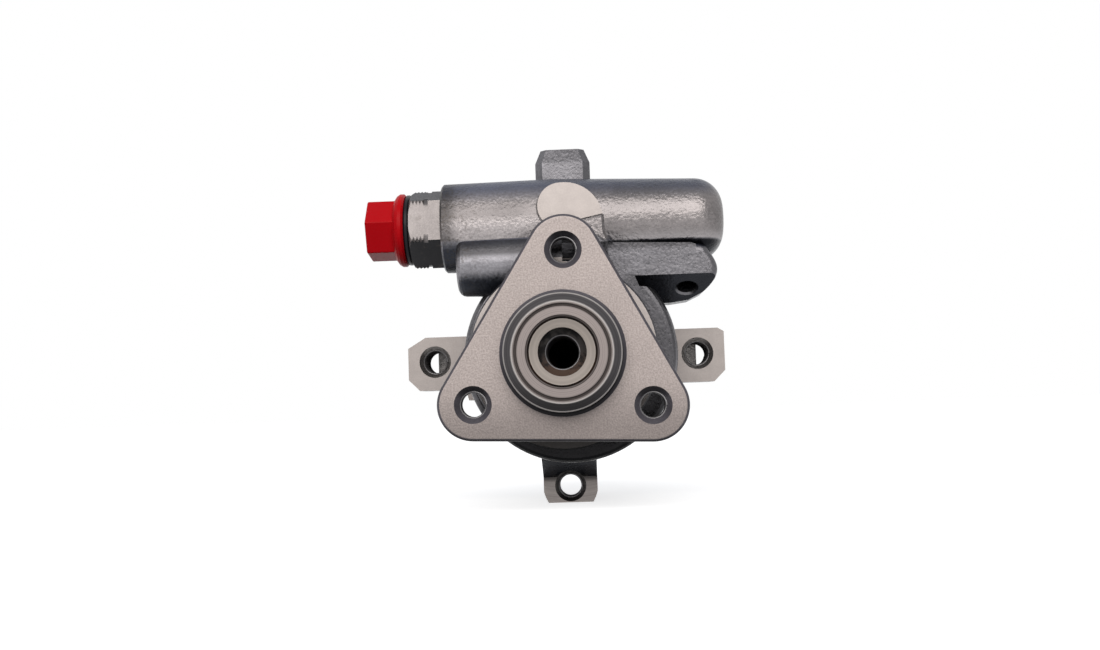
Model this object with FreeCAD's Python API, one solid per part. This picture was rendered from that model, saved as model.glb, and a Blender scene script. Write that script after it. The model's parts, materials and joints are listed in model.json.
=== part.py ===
import FreeCAD, Part
import math
import os

# Power steering pump, in millimetres.
# The origin is on the shaft axis, in the front face of the pulley flange.
# Y runs from the pulley to the back of the pump, Z is up, X is to the right seen from the pulley.

# Pulley flange: a rounded triangle with three tapped holes and a turned hub
FLANGE_THICKNESS = 8.0
FLANGE_HOLES = 3
FLANGE_BOLT_CIRCLE = 61.0
FLANGE_HOLE_CORE = 7.94
FLANGE_HOLE_CHAMFER = 1.6
FLANGE_LOBE_RADIUS = 10.7
FLANGE_EDGE_ROUND = 1.1
FLANGE_REST_TURN = 1.9
HUB_HEIGHT = 8.0
HUB_RADIUS = 17.4
HUB_BASE_FILLET = 1.3
HUB_CHAMFER = 2.5
HUB_GROOVE_RADIUS = 14.1
HUB_GROOVE_WIDTH = 0.9
HUB_GROOVE_DEPTH = 1.2
HUB_BORE_CHAMFER = 0.8
HUB_SPACER_RADIUS = 12.8

# Drive shaft
SHAFT_RADIUS = 10.0
SHAFT_END_CHAMFER = 0.4
SHAFT_END_RECESS = 0.2
SHAFT_COLLAR_RADIUS = 12.0
SHAFT_COLLAR_WIDTH = 1.5
SEAL_JOURNAL_RADIUS = 9.0
BUSH_JOURNAL_RADIUS = 8.0
CENTRE_BORE_RADIUS = 7.05
CENTRE_BORE_DEPTH = 4.0
CENTRE_THREAD_CORE = 10.2
CENTRE_THREAD_DEPTH = 24.0
SPLINE_TEETH = 12
SPLINE_RADIUS = 7.4
SPLINE_TOOTH_HEIGHT = 0.8

# Front ball bearing and its retaining ring
BEARING_OUTER_RADIUS = 23.5
BEARING_WIDTH = 14.0
BALL_RADIUS = 3.97
BALL_COUNT = 8
RACE_CLEARANCE = 0.03
RACE_SHOULDER = 2.85
CAGE_WIDTH = 10.6
CAGE_WALL = 2.2
CAGE_POCKET_CLEARANCE = 0.1
RING_SEAT_DEPTH = 1.0
RING_THICKNESS = 1.75
RING_WIDTH = 3.2
RING_GROOVE_DEPTH = 1.25
RING_GAP_ANGLE = 40.0
RING_CLEARANCE = 0.05

# Shaft seal and bush
SEAL_GAP = 2.25
SEAL_RADIUS = 16.0
SEAL_WIDTH = 7.0
SEAL_WALL = 1.6
SEAL_LIP_CLEARANCE = 0.05
BUSH_GAP = 1.0
BUSH_LENGTH = 10.0
BUSH_WALL = 1.6
BUSH_CLEARANCE = 0.03

# Pumping set in the rear bore
CAVITY_RADIUS = 27.5
CAVITY_CLEARANCE = 0.05
PORT_OFFSET = 22.0
THRUST_PLATE_THICKNESS = 4.0
PLATE_BORE_CLEARANCE = 0.6
CAM_WIDTH = 16.0
CAM_WALL = 6.7
CAM_LIFT = 2.6
CAM_TURN = 35.0
CAM_PORT_DEPTH = 3.0
ROTOR_CLEARANCE = 0.4
ROTOR_SIDE_CLEARANCE = 0.02
VANE_COUNT = 10
VANE_THICKNESS = 1.8
VANE_LENGTH = 8.5
VANE_TIP_CLEARANCE = 0.1
VANE_SLOT_CLEARANCE = 0.02
VANE_SLOT_DEPTH = 8.8
VANE_SLOT_ROOT_RADIUS = 1.4
PRESSURE_PLATE_THICKNESS = 7.0
PORT_WIDTH = 2.8
PORT_SPAN = 38.0
DOWEL_RADIUS = 2.0
DOWEL_INSET = 3.3
DOWEL_DEPTH = 4.0
DOWEL_SEAL_CLEARANCE = 0.3
O_RING_RADIUS = 1.2
SPRING_HEIGHT = 4.0
SPRING_THICKNESS = 1.6
SPRING_INNER_RADIUS = 10.0
SPRING_OUTER_RADIUS = 17.0
END_COVER_THICKNESS = 5.0
END_COVER_DISH_RADIUS = 19.0
END_COVER_DISH_DEPTH = 1.5
COVER_RING_WIRE_RADIUS = 1.0
COVER_RING_GROOVE = 1.05
COVER_RING_GAP_ANGLE = 24.0
REAR_LIP = 3.0
REAR_CHAMFER = 0.8

# Housing: round body and machined front boss
BOSS_GAP = 4.0
BOSS_RADIUS = 28.9
BOSS_HEIGHT = 8.5
BOSS_EDGE = 0.5
BODY_WALL = 5.8
BODY_OFFSET_X = 2.0
BODY_FRONT_ROUND = 2.5
SHAFT_PASS_CLEARANCE = 1.0

# Housing: valve barrel across the top
BARREL_Y = 28.0
BARREL_Z = 41.9
BARREL_LEFT_X = -37.0
BARREL_LEFT_RADIUS = 14.1
BARREL_CROWN_X = -2.0
BARREL_CROWN_RADIUS = 14.6
BARREL_DOME_X = 51.2
BARREL_DOME_RADIUS = 13.1
BARREL_DOME_ROUND = 9.0
BARREL_EDGE = 0.6

# Housing: machined pad on the barrel and the web under it
PAD_X = 0.5
PAD_Z = 45.5
PAD_RADIUS = 7.1
PAD_TIP_X = 13.2
PAD_TIP_Z = 42.6
WEB_STEP = 1.0
WEB_EDGE_ROUND = 0.8
WEB_FOOT_RISE = 1.5

# Housing: lower beam with a round left block and a right lug
BLOCK_LEFT_X = -32.3
BLOCK_Y = 22.0
BLOCK_Z = 29.2
BLOCK_RADIUS = 9.7
BLOCK_SWELL = 1.1
BLOCK_END_ROUND = 2.4
BLOCK_BACK_RISE = 1.8
LUG_LEFT_X = 8.0
LUG_RIGHT_X = 48.0
LUG_FRONT_Y = 15.8
LUG_EDGE_Z = 23.6
LUG_BOTTOM_Z = 15.8
LUG_SLOPE = 32.0
LUG_BACK_Y = 38.0
LUG_LEDGE_Y = 23.0
LUG_LEDGE_Z = 34.5
LUG_LEDGE_FALL = 1.3
LUG_LEDGE_END = 8.0
LUG_SIDE_Z = 25.5
LUG_CURVE = 14.0
LUG_EDGE_ROUND = 2.4
LUG_UNDERSIDE_X = 22.4
LUG_HOLE_RADIUS = 3.05
LUG_HOLE_DEPTH = 11.0
LUG_HOLE_X = 38.7
LUG_HOLE_ALONG = 7.3

# Housing: inlet column on top
INLET_X = 1.1
INLET_WIDTH = 17.7
INLET_FRONT_Y = 33.0
INLET_TOP_Z = 67.6
INLET_SIDE_CHAMFER = 2.3
INLET_TOP_TAPER = 1.8
INLET_TAPER_HEIGHT = 4.5
INLET_BORE_RADIUS = 6.35
INLET_PORT_DEPTH = 13.0
INLET_PASSAGE_RADIUS = 5.0
INLET_PASSAGE_BOTTOM_Z = 24.0

# Housing: three ears with tapped holes
EAR_CIRCLE_RADIUS = 42.8
EAR_HOLE_CORE = 7.94
EAR_HOLE_CHAMFER = 1.2
EAR_FRONT_Y = 40.0
EAR_BACK_Y = 57.0
EAR_HALF_WIDTH = 8.7
EAR_DROP = 0.6
EAR_REACH = 8.8
EAR_LOW_CORNER = 3.6
LEFT_EAR_CORNER = 5.8
RIGHT_EAR_CORNER = 2.0
EAR_CORNER_DROP = 0.6
EAR_ROOT_X = 26.0
EAR_GUSSET_X = 33.0
EAR_GUSSET_DROP = 3.6
RIB_END_X = 43.8
RIB_HALF_HEIGHT = 6.4
RIB_BACK_Y = 72.0
BOTTOM_EAR_FRONT_Y = 48.5
BOTTOM_EAR_HOLE_Z = -42.1
BOTTOM_EAR_REACH = 5.5
BOTTOM_EAR_HALF_WIDTH = 8.9
BOTTOM_EAR_CORNER_X = 1.5
BOTTOM_EAR_CORNER_Z = 3.6
BOTTOM_EAR_FACE_Z = 39.2
BOTTOM_EAR_NECK_Y = 38.0

# Oil passage along the top of the body
PASSAGE_X = 12.0
PASSAGE_RISE = 4.5
PASSAGE_RADIUS = 3.0
PASSAGE_WALL = 3.6
PASSAGE_PLUG_RADIUS = 4.0
PASSAGE_PLUG_LENGTH = 5.0
PASSAGE_PLUG_INSET = 1.5
PASSAGE_PORT_RADIUS = 1.6

# Flow control valve in the barrel
VALVE_BORE_RADIUS = 8.75
VALVE_BORE_END_X = 40.0
SPOOL_CLEARANCE = 0.03
SPOOL_LENGTH = 30.0
SPOOL_GROOVE_START = 9.0
SPOOL_GROOVE_WIDTH = 8.0
SPOOL_GROOVE_DEPTH = 2.0
SPOOL_BORE_RADIUS = 4.6
SPOOL_BORE_DEPTH = 21.0
SPOOL_EDGE = 0.5
RELIEF_PLUG_LENGTH = 6.0
RELIEF_PLUG_ORIFICE = 1.1
RELIEF_BALL_RADIUS = 2.0
RELIEF_GUIDE_RADIUS = 3.6
RELIEF_GUIDE_LENGTH = 4.0
RELIEF_GUIDE_CUP = 1.2
RELIEF_WIRE_RADIUS = 0.5
RELIEF_COILS = 4
SPOOL_SPRING_RADIUS = 6.6
SPOOL_SPRING_WIRE_RADIUS = 0.8
SPOOL_SPRING_COILS = 7
COIL_SIDES = 12

# Outlet fitting: a hex union whose corners carry the thread
FITTING_RADIUS = 12.77
FITTING_HEX = 22.0
FITTING_HEX_TURN = -7.6
FITTING_OUTSIDE = 10.1
FITTING_FLANGE = 1.2
FITTING_COLLAR = 2.7
FITTING_NECK = 1.4
FITTING_NECK_DEPTH = 0.8
FITTING_EDGE = 0.7
FITTING_SHANK_RADIUS = 10.4
FITTING_SHANK_LENGTH = 12.0
FITTING_NOSE_RADIUS = 7.4
FITTING_NOSE_LENGTH = 3.0
FITTING_PORT_RADIUS = 7.2
FITTING_PORT_DEPTH = 12.0
FITTING_ORIFICE_RADIUS = 2.6
FITTING_SEAL_OFFSET = 2.4

# Red transit plug and its ring
CAP_RING_RADIUS = 11.2
CAP_RING_WIDTH = 1.8
CAP_COLLAR_RADIUS = 11.6
CAP_COLLAR_WIDTH = 3.4
CAP_HEX = 17.0
CAP_HEX_TURN = 20.4
CAP_HEX_LENGTH = 8.8
CAP_SHANK_LENGTH = 8.0
CAP_SHANK_CLEARANCE = 0.05
CAP_WALL = 2.0
CAP_EDGE = 0.6
CAP_COLLAR_SLOPE = 1.7

# Radii worked out from the sizes above
BEARING_PITCH_RADIUS = (SHAFT_RADIUS + BEARING_OUTER_RADIUS) / 2
BODY_RADIUS = CAVITY_RADIUS + BODY_WALL
CAM_NARROW_RADIUS = CAVITY_RADIUS - CAM_WALL
ROTOR_RADIUS = CAM_NARROW_RADIUS - ROTOR_CLEARANCE
VANE_SLOT_ROOT = ROTOR_RADIUS - VANE_SLOT_DEPTH
PORT_INNER_RADIUS = ROTOR_RADIUS - PORT_WIDTH
DOWEL_CIRCLE_RADIUS = CAVITY_RADIUS - DOWEL_INSET
PASSAGE_Z = CAVITY_RADIUS + PASSAGE_RISE

# Places along the shaft, worked out from the sizes above
BOSS_Y = FLANGE_THICKNESS + BOSS_GAP
BODY_FRONT_Y = BOSS_Y + BOSS_HEIGHT
BEARING_Y = BOSS_Y + RING_SEAT_DEPTH + RING_THICKNESS
BEARING_BACK_Y = BEARING_Y + BEARING_WIDTH
SEAL_Y = BEARING_BACK_Y + SEAL_GAP
SEAL_BACK_Y = SEAL_Y + SEAL_WIDTH
BUSH_Y = SEAL_BACK_Y + BUSH_GAP
CAVITY_Y = BUSH_Y + BUSH_LENGTH + BUSH_GAP
CAM_Y = CAVITY_Y + THRUST_PLATE_THICKNESS
PRESSURE_PLATE_Y = CAM_Y + CAM_WIDTH
SPRING_Y = PRESSURE_PLATE_Y + PRESSURE_PLATE_THICKNESS
END_COVER_Y = SPRING_Y + SPRING_HEIGHT
COVER_RING_Y = END_COVER_Y + END_COVER_THICKNESS + COVER_RING_WIRE_RADIUS
HOUSING_BACK_Y = COVER_RING_Y + COVER_RING_WIRE_RADIUS + REAR_LIP
ROTOR_BACK_Y = PRESSURE_PLATE_Y - ROTOR_SIDE_CLEARANCE
SHAFT_BACK_Y = PRESSURE_PLATE_Y + 3.0
PLATE_BORE_RADIUS = BUSH_JOURNAL_RADIUS + PLATE_BORE_CLEARANCE

# Places along the barrel
FITTING_LEFT_X = BARREL_LEFT_X - FITTING_OUTSIDE
SHANK_END_X = BARREL_LEFT_X + FITTING_SHANK_LENGTH
SPOOL_X = SHANK_END_X + FITTING_NOSE_LENGTH
SPOOL_END_X = SPOOL_X + SPOOL_LENGTH
CAP_RING_X = FITTING_LEFT_X - CAP_RING_WIDTH
CAP_COLLAR_X = CAP_RING_X - CAP_COLLAR_WIDTH
CAP_END_X = CAP_COLLAR_X - CAP_HEX_LENGTH

ALONG_X = FreeCAD.Vector(1, 0, 0)
ALONG_Y = FreeCAD.Vector(0, 1, 0)
ALONG_Z = FreeCAD.Vector(0, 0, 1)
CENTRE = FreeCAD.Vector(0, 0, 0)
BARREL_AXIS = FreeCAD.Vector(0, BARREL_Y, BARREL_Z)


# Basic forms

def cylinder_y(radius, front, back, x=0.0, z=0.0):
    return Part.makeCylinder(radius, back - front, FreeCAD.Vector(x, front, z), ALONG_Y)


def cylinder_x(radius, left, right, y=BARREL_Y, z=BARREL_Z):
    return Part.makeCylinder(radius, right - left, FreeCAD.Vector(left, y, z), ALONG_X)


def block(x0, x1, y0, y1, z0, z1):
    return Part.makeBox(x1 - x0, y1 - y0, z1 - z0, FreeCAD.Vector(x0, y0, z0))


def face_of(points):
    return Part.Face(Part.makePolygon(points + [points[0]]))


def turned(profile, angle=360.0):
    """A solid turned about the shaft axis from (radius, y) points."""
    points = [FreeCAD.Vector(radius, y, 0) for radius, y in profile]
    return face_of(points).revolve(CENTRE, ALONG_Y, angle)


def turned_on_barrel(profile):
    """A solid turned about the barrel axis from (x, radius) points."""
    points = [FreeCAD.Vector(x, BARREL_Y, BARREL_Z + radius) for x, radius in profile]
    return face_of(points).revolve(BARREL_AXIS, ALONG_X, 360)


def prism_y(outline, front, back):
    """A prism along Y from (x, z) points."""
    points = [FreeCAD.Vector(x, front, z) for x, z in outline]
    return face_of(points).extrude(FreeCAD.Vector(0, back - front, 0))


def prism_x(outline, left, right):
    """A prism along X from (y, z) points."""
    points = [FreeCAD.Vector(left, y, z) for y, z in outline]
    return face_of(points).extrude(FreeCAD.Vector(right - left, 0, 0))


def hexagon_x(across_flats, left, right, turn):
    """A hexagon prism on the barrel axis, its first flat facing front and turned by an angle."""
    corner = across_flats / math.sqrt(3.0)
    angles = [math.radians(60.0 * i + 30.0 + turn) for i in range(6)]
    outline = [(BARREL_Y + corner * math.cos(a), BARREL_Z + corner * math.sin(a)) for a in angles]
    return prism_x(outline, left, right)


def torus_y(ring_radius, wire_radius, y):
    return Part.makeTorus(ring_radius, wire_radius, FreeCAD.Vector(0, y, 0), ALONG_Y)


def arc_points(centre, height, radius, start, end, steps):
    """Points on an arc in a (first, second) plane, at even angles in degrees."""
    angles = [math.radians(start + (end - start) * i / steps) for i in range(steps + 1)]
    return [(centre + radius * math.cos(a), height + radius * math.sin(a)) for a in angles]


def wire_section(ring_radius, wire_radius, place):
    """An eight-sided section whose flats touch the round of the wire."""
    corner = wire_radius / math.cos(math.radians(22.5))
    return arc_points(ring_radius, place, corner, 22.5, 337.5, 7)


def wire_ring(ring_radius, wire_radius, y):
    """A ring of round wire about the shaft axis."""
    return turned(wire_section(ring_radius, wire_radius, y))


def sector(inner, outer, front, back, start, span):
    """Part of a ring about the shaft axis; angles run from +X towards +Z."""
    profile = [(inner, front), (outer, front), (outer, back), (inner, back)]
    piece = turned(profile, -span)
    piece.rotate(CENTRE, ALONG_Y, -start)
    return piece


def on_circle(radius, angle):
    """X and Z of a point round the shaft; the angle runs from +X towards +Z."""
    return radius * math.cos(math.radians(angle)), radius * math.sin(math.radians(angle))


def edges_where(shape, test):
    return [edge for edge in shape.Edges if test(edge)]


def clean(shape):
    """The shape with its co-planar faces joined, as one solid or a group of solids."""
    tidy = shape.removeSplitter()
    if len(tidy.Solids) == 1:
        return tidy.Solids[0]
    return tidy


# Pulley flange

def flange_hole_angles():
    return [90.0 - FLANGE_REST_TURN + 360.0 * i / FLANGE_HOLES for i in range(FLANGE_HOLES)]


def triangle_plate():
    """The hull of three circles, with rounded front and back edges."""
    arcs = []
    half = 180.0 / FLANGE_HOLES
    for angle in flange_hole_angles():
        cx, cz = on_circle(FLANGE_BOLT_CIRCLE / 2, angle)
        spots = [on_circle(FLANGE_LOBE_RADIUS, angle + turn) for turn in (-half, 0.0, half)]
        arcs.append([FreeCAD.Vector(cx + x, 0, cz + z) for x, z in spots])
    edges = []
    for i, arc in enumerate(arcs):
        edges.append(Part.Arc(*arc).toShape())
        following = arcs[(i + 1) % len(arcs)]
        edges.append(Part.LineSegment(arc[2], following[0]).toShape())
    plate = Part.Face(Part.Wire(edges)).extrude(FreeCAD.Vector(0, FLANGE_THICKNESS, 0))
    rims = edges_where(plate, lambda e: e.BoundBox.YLength < 0.001)
    return plate.makeFillet(FLANGE_EDGE_ROUND, rims)


def make_pulley_flange():
    inner_groove = HUB_GROOVE_RADIUS - HUB_GROOVE_WIDTH
    middle = FLANGE_THICKNESS / 2
    hub = turned([
        (SHAFT_RADIUS + HUB_BORE_CHAMFER, -HUB_HEIGHT),
        (inner_groove, -HUB_HEIGHT),
        (inner_groove, HUB_GROOVE_DEPTH - HUB_HEIGHT),
        (HUB_GROOVE_RADIUS, HUB_GROOVE_DEPTH - HUB_HEIGHT),
        (HUB_GROOVE_RADIUS, -HUB_HEIGHT),
        (HUB_RADIUS - HUB_CHAMFER, -HUB_HEIGHT),
        (HUB_RADIUS, HUB_CHAMFER - HUB_HEIGHT),
        (HUB_RADIUS, -HUB_BASE_FILLET),
        (HUB_RADIUS + HUB_BASE_FILLET * 0.3, -HUB_BASE_FILLET * 0.3),
        (HUB_RADIUS + HUB_BASE_FILLET, 0.0),
        (HUB_RADIUS, middle),
        (HUB_SPACER_RADIUS, middle),
        (HUB_SPACER_RADIUS, BEARING_Y),
        (SHAFT_RADIUS, BEARING_Y),
        (SHAFT_RADIUS, HUB_BORE_CHAMFER - HUB_HEIGHT),
    ])
    flange = triangle_plate().fuse(hub)
    cuts = [cylinder_y(SHAFT_RADIUS, -HUB_HEIGHT, BEARING_Y)]
    for angle in flange_hole_angles():
        x, z = on_circle(FLANGE_BOLT_CIRCLE / 2, angle)
        cuts.append(tapped_hole(FLANGE_HOLE_CORE, FLANGE_HOLE_CHAMFER, 0.0, FLANGE_THICKNESS, x, z, True))
    return clean(flange.cut(cuts))


def tapped_hole(core, chamfer, front, back, x, z, both_ends):
    """A tapped hole's core along Y, with a countersink at its front, or at both ends."""
    radius = core / 2
    start = FreeCAD.Vector(x, front, z)
    hole = cylinder_y(radius, front, back, x, z)
    hole = hole.fuse(Part.makeCone(radius + chamfer, radius, chamfer, start, ALONG_Y))
    if both_ends:
        end = FreeCAD.Vector(x, back - chamfer, z)
        hole = hole.fuse(Part.makeCone(radius, radius + chamfer, chamfer, end, ALONG_Y))
    return hole


# Drive shaft and rotor

def spline_outline(radius):
    """Points of a splined section with straight-sided teeth."""
    points = []
    pitch = 360.0 / SPLINE_TEETH
    root = radius - SPLINE_TOOTH_HEIGHT
    for i in range(SPLINE_TEETH):
        for share, reach in ((0.0, root), (0.25, root), (0.35, radius), (0.9, radius)):
            points.append(on_circle(reach, (i + share) * pitch))
    return points


def make_shaft():
    front = SHAFT_END_RECESS - HUB_HEIGHT
    collar_back = BEARING_BACK_Y + SHAFT_COLLAR_WIDTH
    bore_bottom = front + CENTRE_BORE_DEPTH
    thread_bottom = bore_bottom + CENTRE_THREAD_DEPTH
    core = CENTRE_THREAD_CORE / 2
    neck = SPLINE_RADIUS - SPLINE_TOOTH_HEIGHT
    body = turned([
        (0.0, front),
        (SHAFT_RADIUS - SHAFT_END_CHAMFER, front),
        (SHAFT_RADIUS, front + SHAFT_END_CHAMFER),
        (SHAFT_RADIUS, BEARING_BACK_Y),
        (SHAFT_COLLAR_RADIUS, BEARING_BACK_Y),
        (SHAFT_COLLAR_RADIUS, collar_back),
        (SEAL_JOURNAL_RADIUS, collar_back),
        (SEAL_JOURNAL_RADIUS, SEAL_BACK_Y),
        (BUSH_JOURNAL_RADIUS, SEAL_BACK_Y),
        (BUSH_JOURNAL_RADIUS, CAVITY_Y),
        (neck, CAVITY_Y),
        (0.0, CAVITY_Y),
    ])
    splined = prism_y(spline_outline(SPLINE_RADIUS), CAVITY_Y, SHAFT_BACK_Y)
    centre_hole = turned([
        (0.0, front),
        (CENTRE_BORE_RADIUS, front),
        (CENTRE_BORE_RADIUS, bore_bottom),
        (core, bore_bottom),
        (core, thread_bottom),
        (0.0, thread_bottom + core * 0.6),
    ])
    groove = turned([
        (neck - 0.4, ROTOR_BACK_Y),
        (SPLINE_RADIUS + 1.0, ROTOR_BACK_Y),
        (SPLINE_RADIUS + 1.0, ROTOR_BACK_Y + 1.2),
        (neck - 0.4, ROTOR_BACK_Y + 1.2),
    ])
    return clean(body.fuse(splined).cut([centre_hole, groove]))


def make_rotor_retaining_ring():
    inner = SPLINE_RADIUS - SPLINE_TOOTH_HEIGHT - 0.4
    ring = sector(inner, PLATE_BORE_RADIUS - 0.3, ROTOR_BACK_Y, ROTOR_BACK_Y + 1.2, 60.0, 300.0)
    return clean(ring)


def vane_angles():
    return [360.0 * i / VANE_COUNT for i in range(VANE_COUNT)]


def make_rotor():
    front = CAM_Y + ROTOR_SIDE_CLEARANCE
    rotor = cylinder_y(ROTOR_RADIUS, front, ROTOR_BACK_Y)
    half = VANE_THICKNESS / 2 + VANE_SLOT_CLEARANCE
    cuts = [prism_y(spline_outline(SPLINE_RADIUS), front, ROTOR_BACK_Y)]
    for angle in vane_angles():
        slot = block(VANE_SLOT_ROOT, ROTOR_RADIUS + 1.0, front, ROTOR_BACK_Y, -half, half)
        root = cylinder_y(VANE_SLOT_ROOT_RADIUS, front, ROTOR_BACK_Y, VANE_SLOT_ROOT, 0.0)
        cut = slot.fuse(root)
        cut.rotate(CENTRE, ALONG_Y, -angle)
        cuts.append(cut)
    return clean(rotor.cut(cuts))


def make_vane(angle):
    """A flat vane with a rounded tip, standing just inside the narrow part of the cam."""
    tip = CAM_NARROW_RADIUS - VANE_TIP_CLEARANCE
    root = tip - VANE_LENGTH
    half = VANE_THICKNESS / 2
    front = CAM_Y + ROTOR_SIDE_CLEARANCE
    shoulder = tip - half * 0.5
    corners = [
        FreeCAD.Vector(shoulder, front, -half),
        FreeCAD.Vector(root, front, -half),
        FreeCAD.Vector(root, front, half),
        FreeCAD.Vector(shoulder, front, half),
    ]
    edges = [Part.LineSegment(corners[i], corners[i + 1]).toShape() for i in range(3)]
    edges.append(Part.Arc(corners[3], FreeCAD.Vector(tip, front, 0), corners[0]).toShape())
    vane = Part.Face(Part.Wire(edges)).extrude(FreeCAD.Vector(0, ROTOR_BACK_Y - front, 0))
    vane.rotate(CENTRE, ALONG_Y, -angle)
    return vane


# Front bearing

def bearing_middle_y():
    return BEARING_Y + BEARING_WIDTH / 2


def race_groove():
    return torus_y(BEARING_PITCH_RADIUS, BALL_RADIUS + RACE_CLEARANCE, bearing_middle_y())


def make_bearing_outer_ring():
    inner = BEARING_PITCH_RADIUS + RACE_SHOULDER
    ring = turned([
        (inner, BEARING_Y),
        (BEARING_OUTER_RADIUS, BEARING_Y),
        (BEARING_OUTER_RADIUS, BEARING_BACK_Y),
        (inner, BEARING_BACK_Y),
    ])
    return clean(ring.cut(race_groove()))


def make_bearing_inner_ring():
    outer = BEARING_PITCH_RADIUS - RACE_SHOULDER
    ring = turned([
        (SHAFT_RADIUS, BEARING_Y),
        (outer, BEARING_Y),
        (outer, BEARING_BACK_Y),
        (SHAFT_RADIUS, BEARING_BACK_Y),
    ])
    return clean(ring.cut(race_groove()))


def ball_places():
    places = []
    for i in range(BALL_COUNT):
        x, z = on_circle(BEARING_PITCH_RADIUS, 360.0 * i / BALL_COUNT)
        places.append(FreeCAD.Vector(x, bearing_middle_y(), z))
    return places


def make_bearing_balls():
    return Part.makeCompound([Part.makeSphere(BALL_RADIUS, place) for place in ball_places()])


def make_bearing_cage():
    half = CAGE_WIDTH / 2
    middle = bearing_middle_y()
    middle_point = FreeCAD.Vector(0, middle, 0)
    inner = BEARING_PITCH_RADIUS - CAGE_WALL / 2
    outer = BEARING_PITCH_RADIUS + CAGE_WALL / 2
    ring = turned([
        (inner, middle - half),
        (outer, middle - half),
        (outer, middle + half),
        (inner, middle + half),
    ])
    pocket = BALL_RADIUS + CAGE_POCKET_CLEARANCE
    pockets = [Part.makeCylinder(pocket, outer + 1.0, FreeCAD.Vector(0, middle, 0), place - middle_point)
               for place in ball_places()]
    return clean(ring.cut(pockets))


def make_bearing_retaining_ring():
    """An inside retaining ring, open at the bottom, with an eye at each end."""
    front = BOSS_Y + RING_SEAT_DEPTH
    outer = BEARING_OUTER_RADIUS + RING_GROOVE_DEPTH - RING_CLEARANCE
    inner = BEARING_OUTER_RADIUS - RING_WIDTH
    ring = sector(inner, outer, front, BEARING_Y, 270.0 + RING_GAP_ANGLE / 2, 360.0 - RING_GAP_ANGLE)
    eyes = []
    holes = []
    for side in (-1, 1):
        x, z = on_circle(inner + 0.6, 270.0 + side * (RING_GAP_ANGLE / 2 + 6.0))
        eyes.append(cylinder_y(2.4, front, BEARING_Y, x, z))
        holes.append(cylinder_y(1.1, front, BEARING_Y, x, z))
    return clean(ring.fuse(eyes).cut(holes))


def make_shaft_seal():
    """An oil seal: a stiffened cup with one lip round the shaft."""
    lip = SEAL_JOURNAL_RADIUS + SEAL_LIP_CLEARANCE
    return clean(turned([
        (SEAL_RADIUS, SEAL_Y),
        (SEAL_RADIUS, SEAL_BACK_Y),
        (SEAL_RADIUS - SEAL_WALL, SEAL_BACK_Y),
        (SEAL_RADIUS - SEAL_WALL, SEAL_Y + SEAL_WALL),
        (lip + 2.2, SEAL_Y + SEAL_WALL),
        (lip + 1.8, SEAL_BACK_Y - 1.2),
        (lip + 0.9, SEAL_BACK_Y - 0.6),
        (lip, SEAL_BACK_Y - 1.6),
        (lip + 0.9, SEAL_Y),
    ]))


def make_shaft_bush():
    inner = BUSH_JOURNAL_RADIUS + BUSH_CLEARANCE
    outer = BUSH_JOURNAL_RADIUS + BUSH_WALL
    back = BUSH_Y + BUSH_LENGTH
    return clean(turned([(inner, BUSH_Y), (outer, BUSH_Y), (outer, back), (inner, back)]))


# Pumping set

def cam_radius(angle):
    """The oval bore of the cam ring, narrow at the dowels."""
    wave = 0.5 - 0.5 * math.cos(math.radians(2.0 * (angle - CAM_TURN)))
    return CAM_NARROW_RADIUS + CAM_LIFT * wave


def dowel_places():
    return [on_circle(DOWEL_CIRCLE_RADIUS, CAM_TURN + turn) for turn in (0.0, 180.0)]


def dowel_back_y():
    """The dowels end in the pressure plate, short of its seal groove."""
    return plate_seal_y() - O_RING_RADIUS - DOWEL_SEAL_CLEARANCE


def dowel_holes(front, back):
    return [cylinder_y(DOWEL_RADIUS, front, back, x, z) for x, z in dowel_places()]


def cam_bore(front, back):
    points = []
    for angle in range(0, 360, 10):
        x, z = on_circle(cam_radius(angle), angle)
        points.append(FreeCAD.Vector(x, front, z))
    curve = Part.BSplineCurve()
    curve.interpolate(points, PeriodicFlag=True)
    return Part.Face(Part.Wire(curve.toShape())).extrude(FreeCAD.Vector(0, back - front, 0))


def port_angles(kind):
    """Start angles of the two suction ports or of the two pressure ports."""
    start = CAM_TURN + PORT_OFFSET + (90.0 if kind == "pressure" else 0.0)
    return [start, start + 180.0]


def rim_notches(depth_front, depth_back, inner):
    return [sector(inner, CAVITY_RADIUS + 1.0, depth_front, depth_back, angle, PORT_SPAN)
            for angle in port_angles("suction")]


def make_thrust_plate():
    plate = cylinder_y(CAVITY_RADIUS - CAVITY_CLEARANCE, CAVITY_Y, CAM_Y)
    cuts = [cylinder_y(PLATE_BORE_RADIUS, CAVITY_Y, CAM_Y)]
    cuts += dowel_holes(CAVITY_Y, CAM_Y)
    cuts += rim_notches(CAVITY_Y, CAM_Y, ROTOR_RADIUS - 1.0)
    for angle in port_angles("pressure"):
        cuts.append(sector(PORT_INNER_RADIUS, ROTOR_RADIUS, CAM_Y - 1.5, CAM_Y, angle, PORT_SPAN))
    return clean(plate.cut(cuts))


def make_cam_ring():
    ring = cylinder_y(CAVITY_RADIUS - CAVITY_CLEARANCE, CAM_Y, PRESSURE_PLATE_Y)
    cuts = [cam_bore(CAM_Y, PRESSURE_PLATE_Y)]
    cuts += dowel_holes(CAM_Y, PRESSURE_PLATE_Y)
    cuts += rim_notches(CAM_Y, CAM_Y + CAM_PORT_DEPTH, ROTOR_RADIUS)
    cuts += rim_notches(PRESSURE_PLATE_Y - CAM_PORT_DEPTH, PRESSURE_PLATE_Y, ROTOR_RADIUS)
    return clean(ring.cut(cuts))


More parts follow.
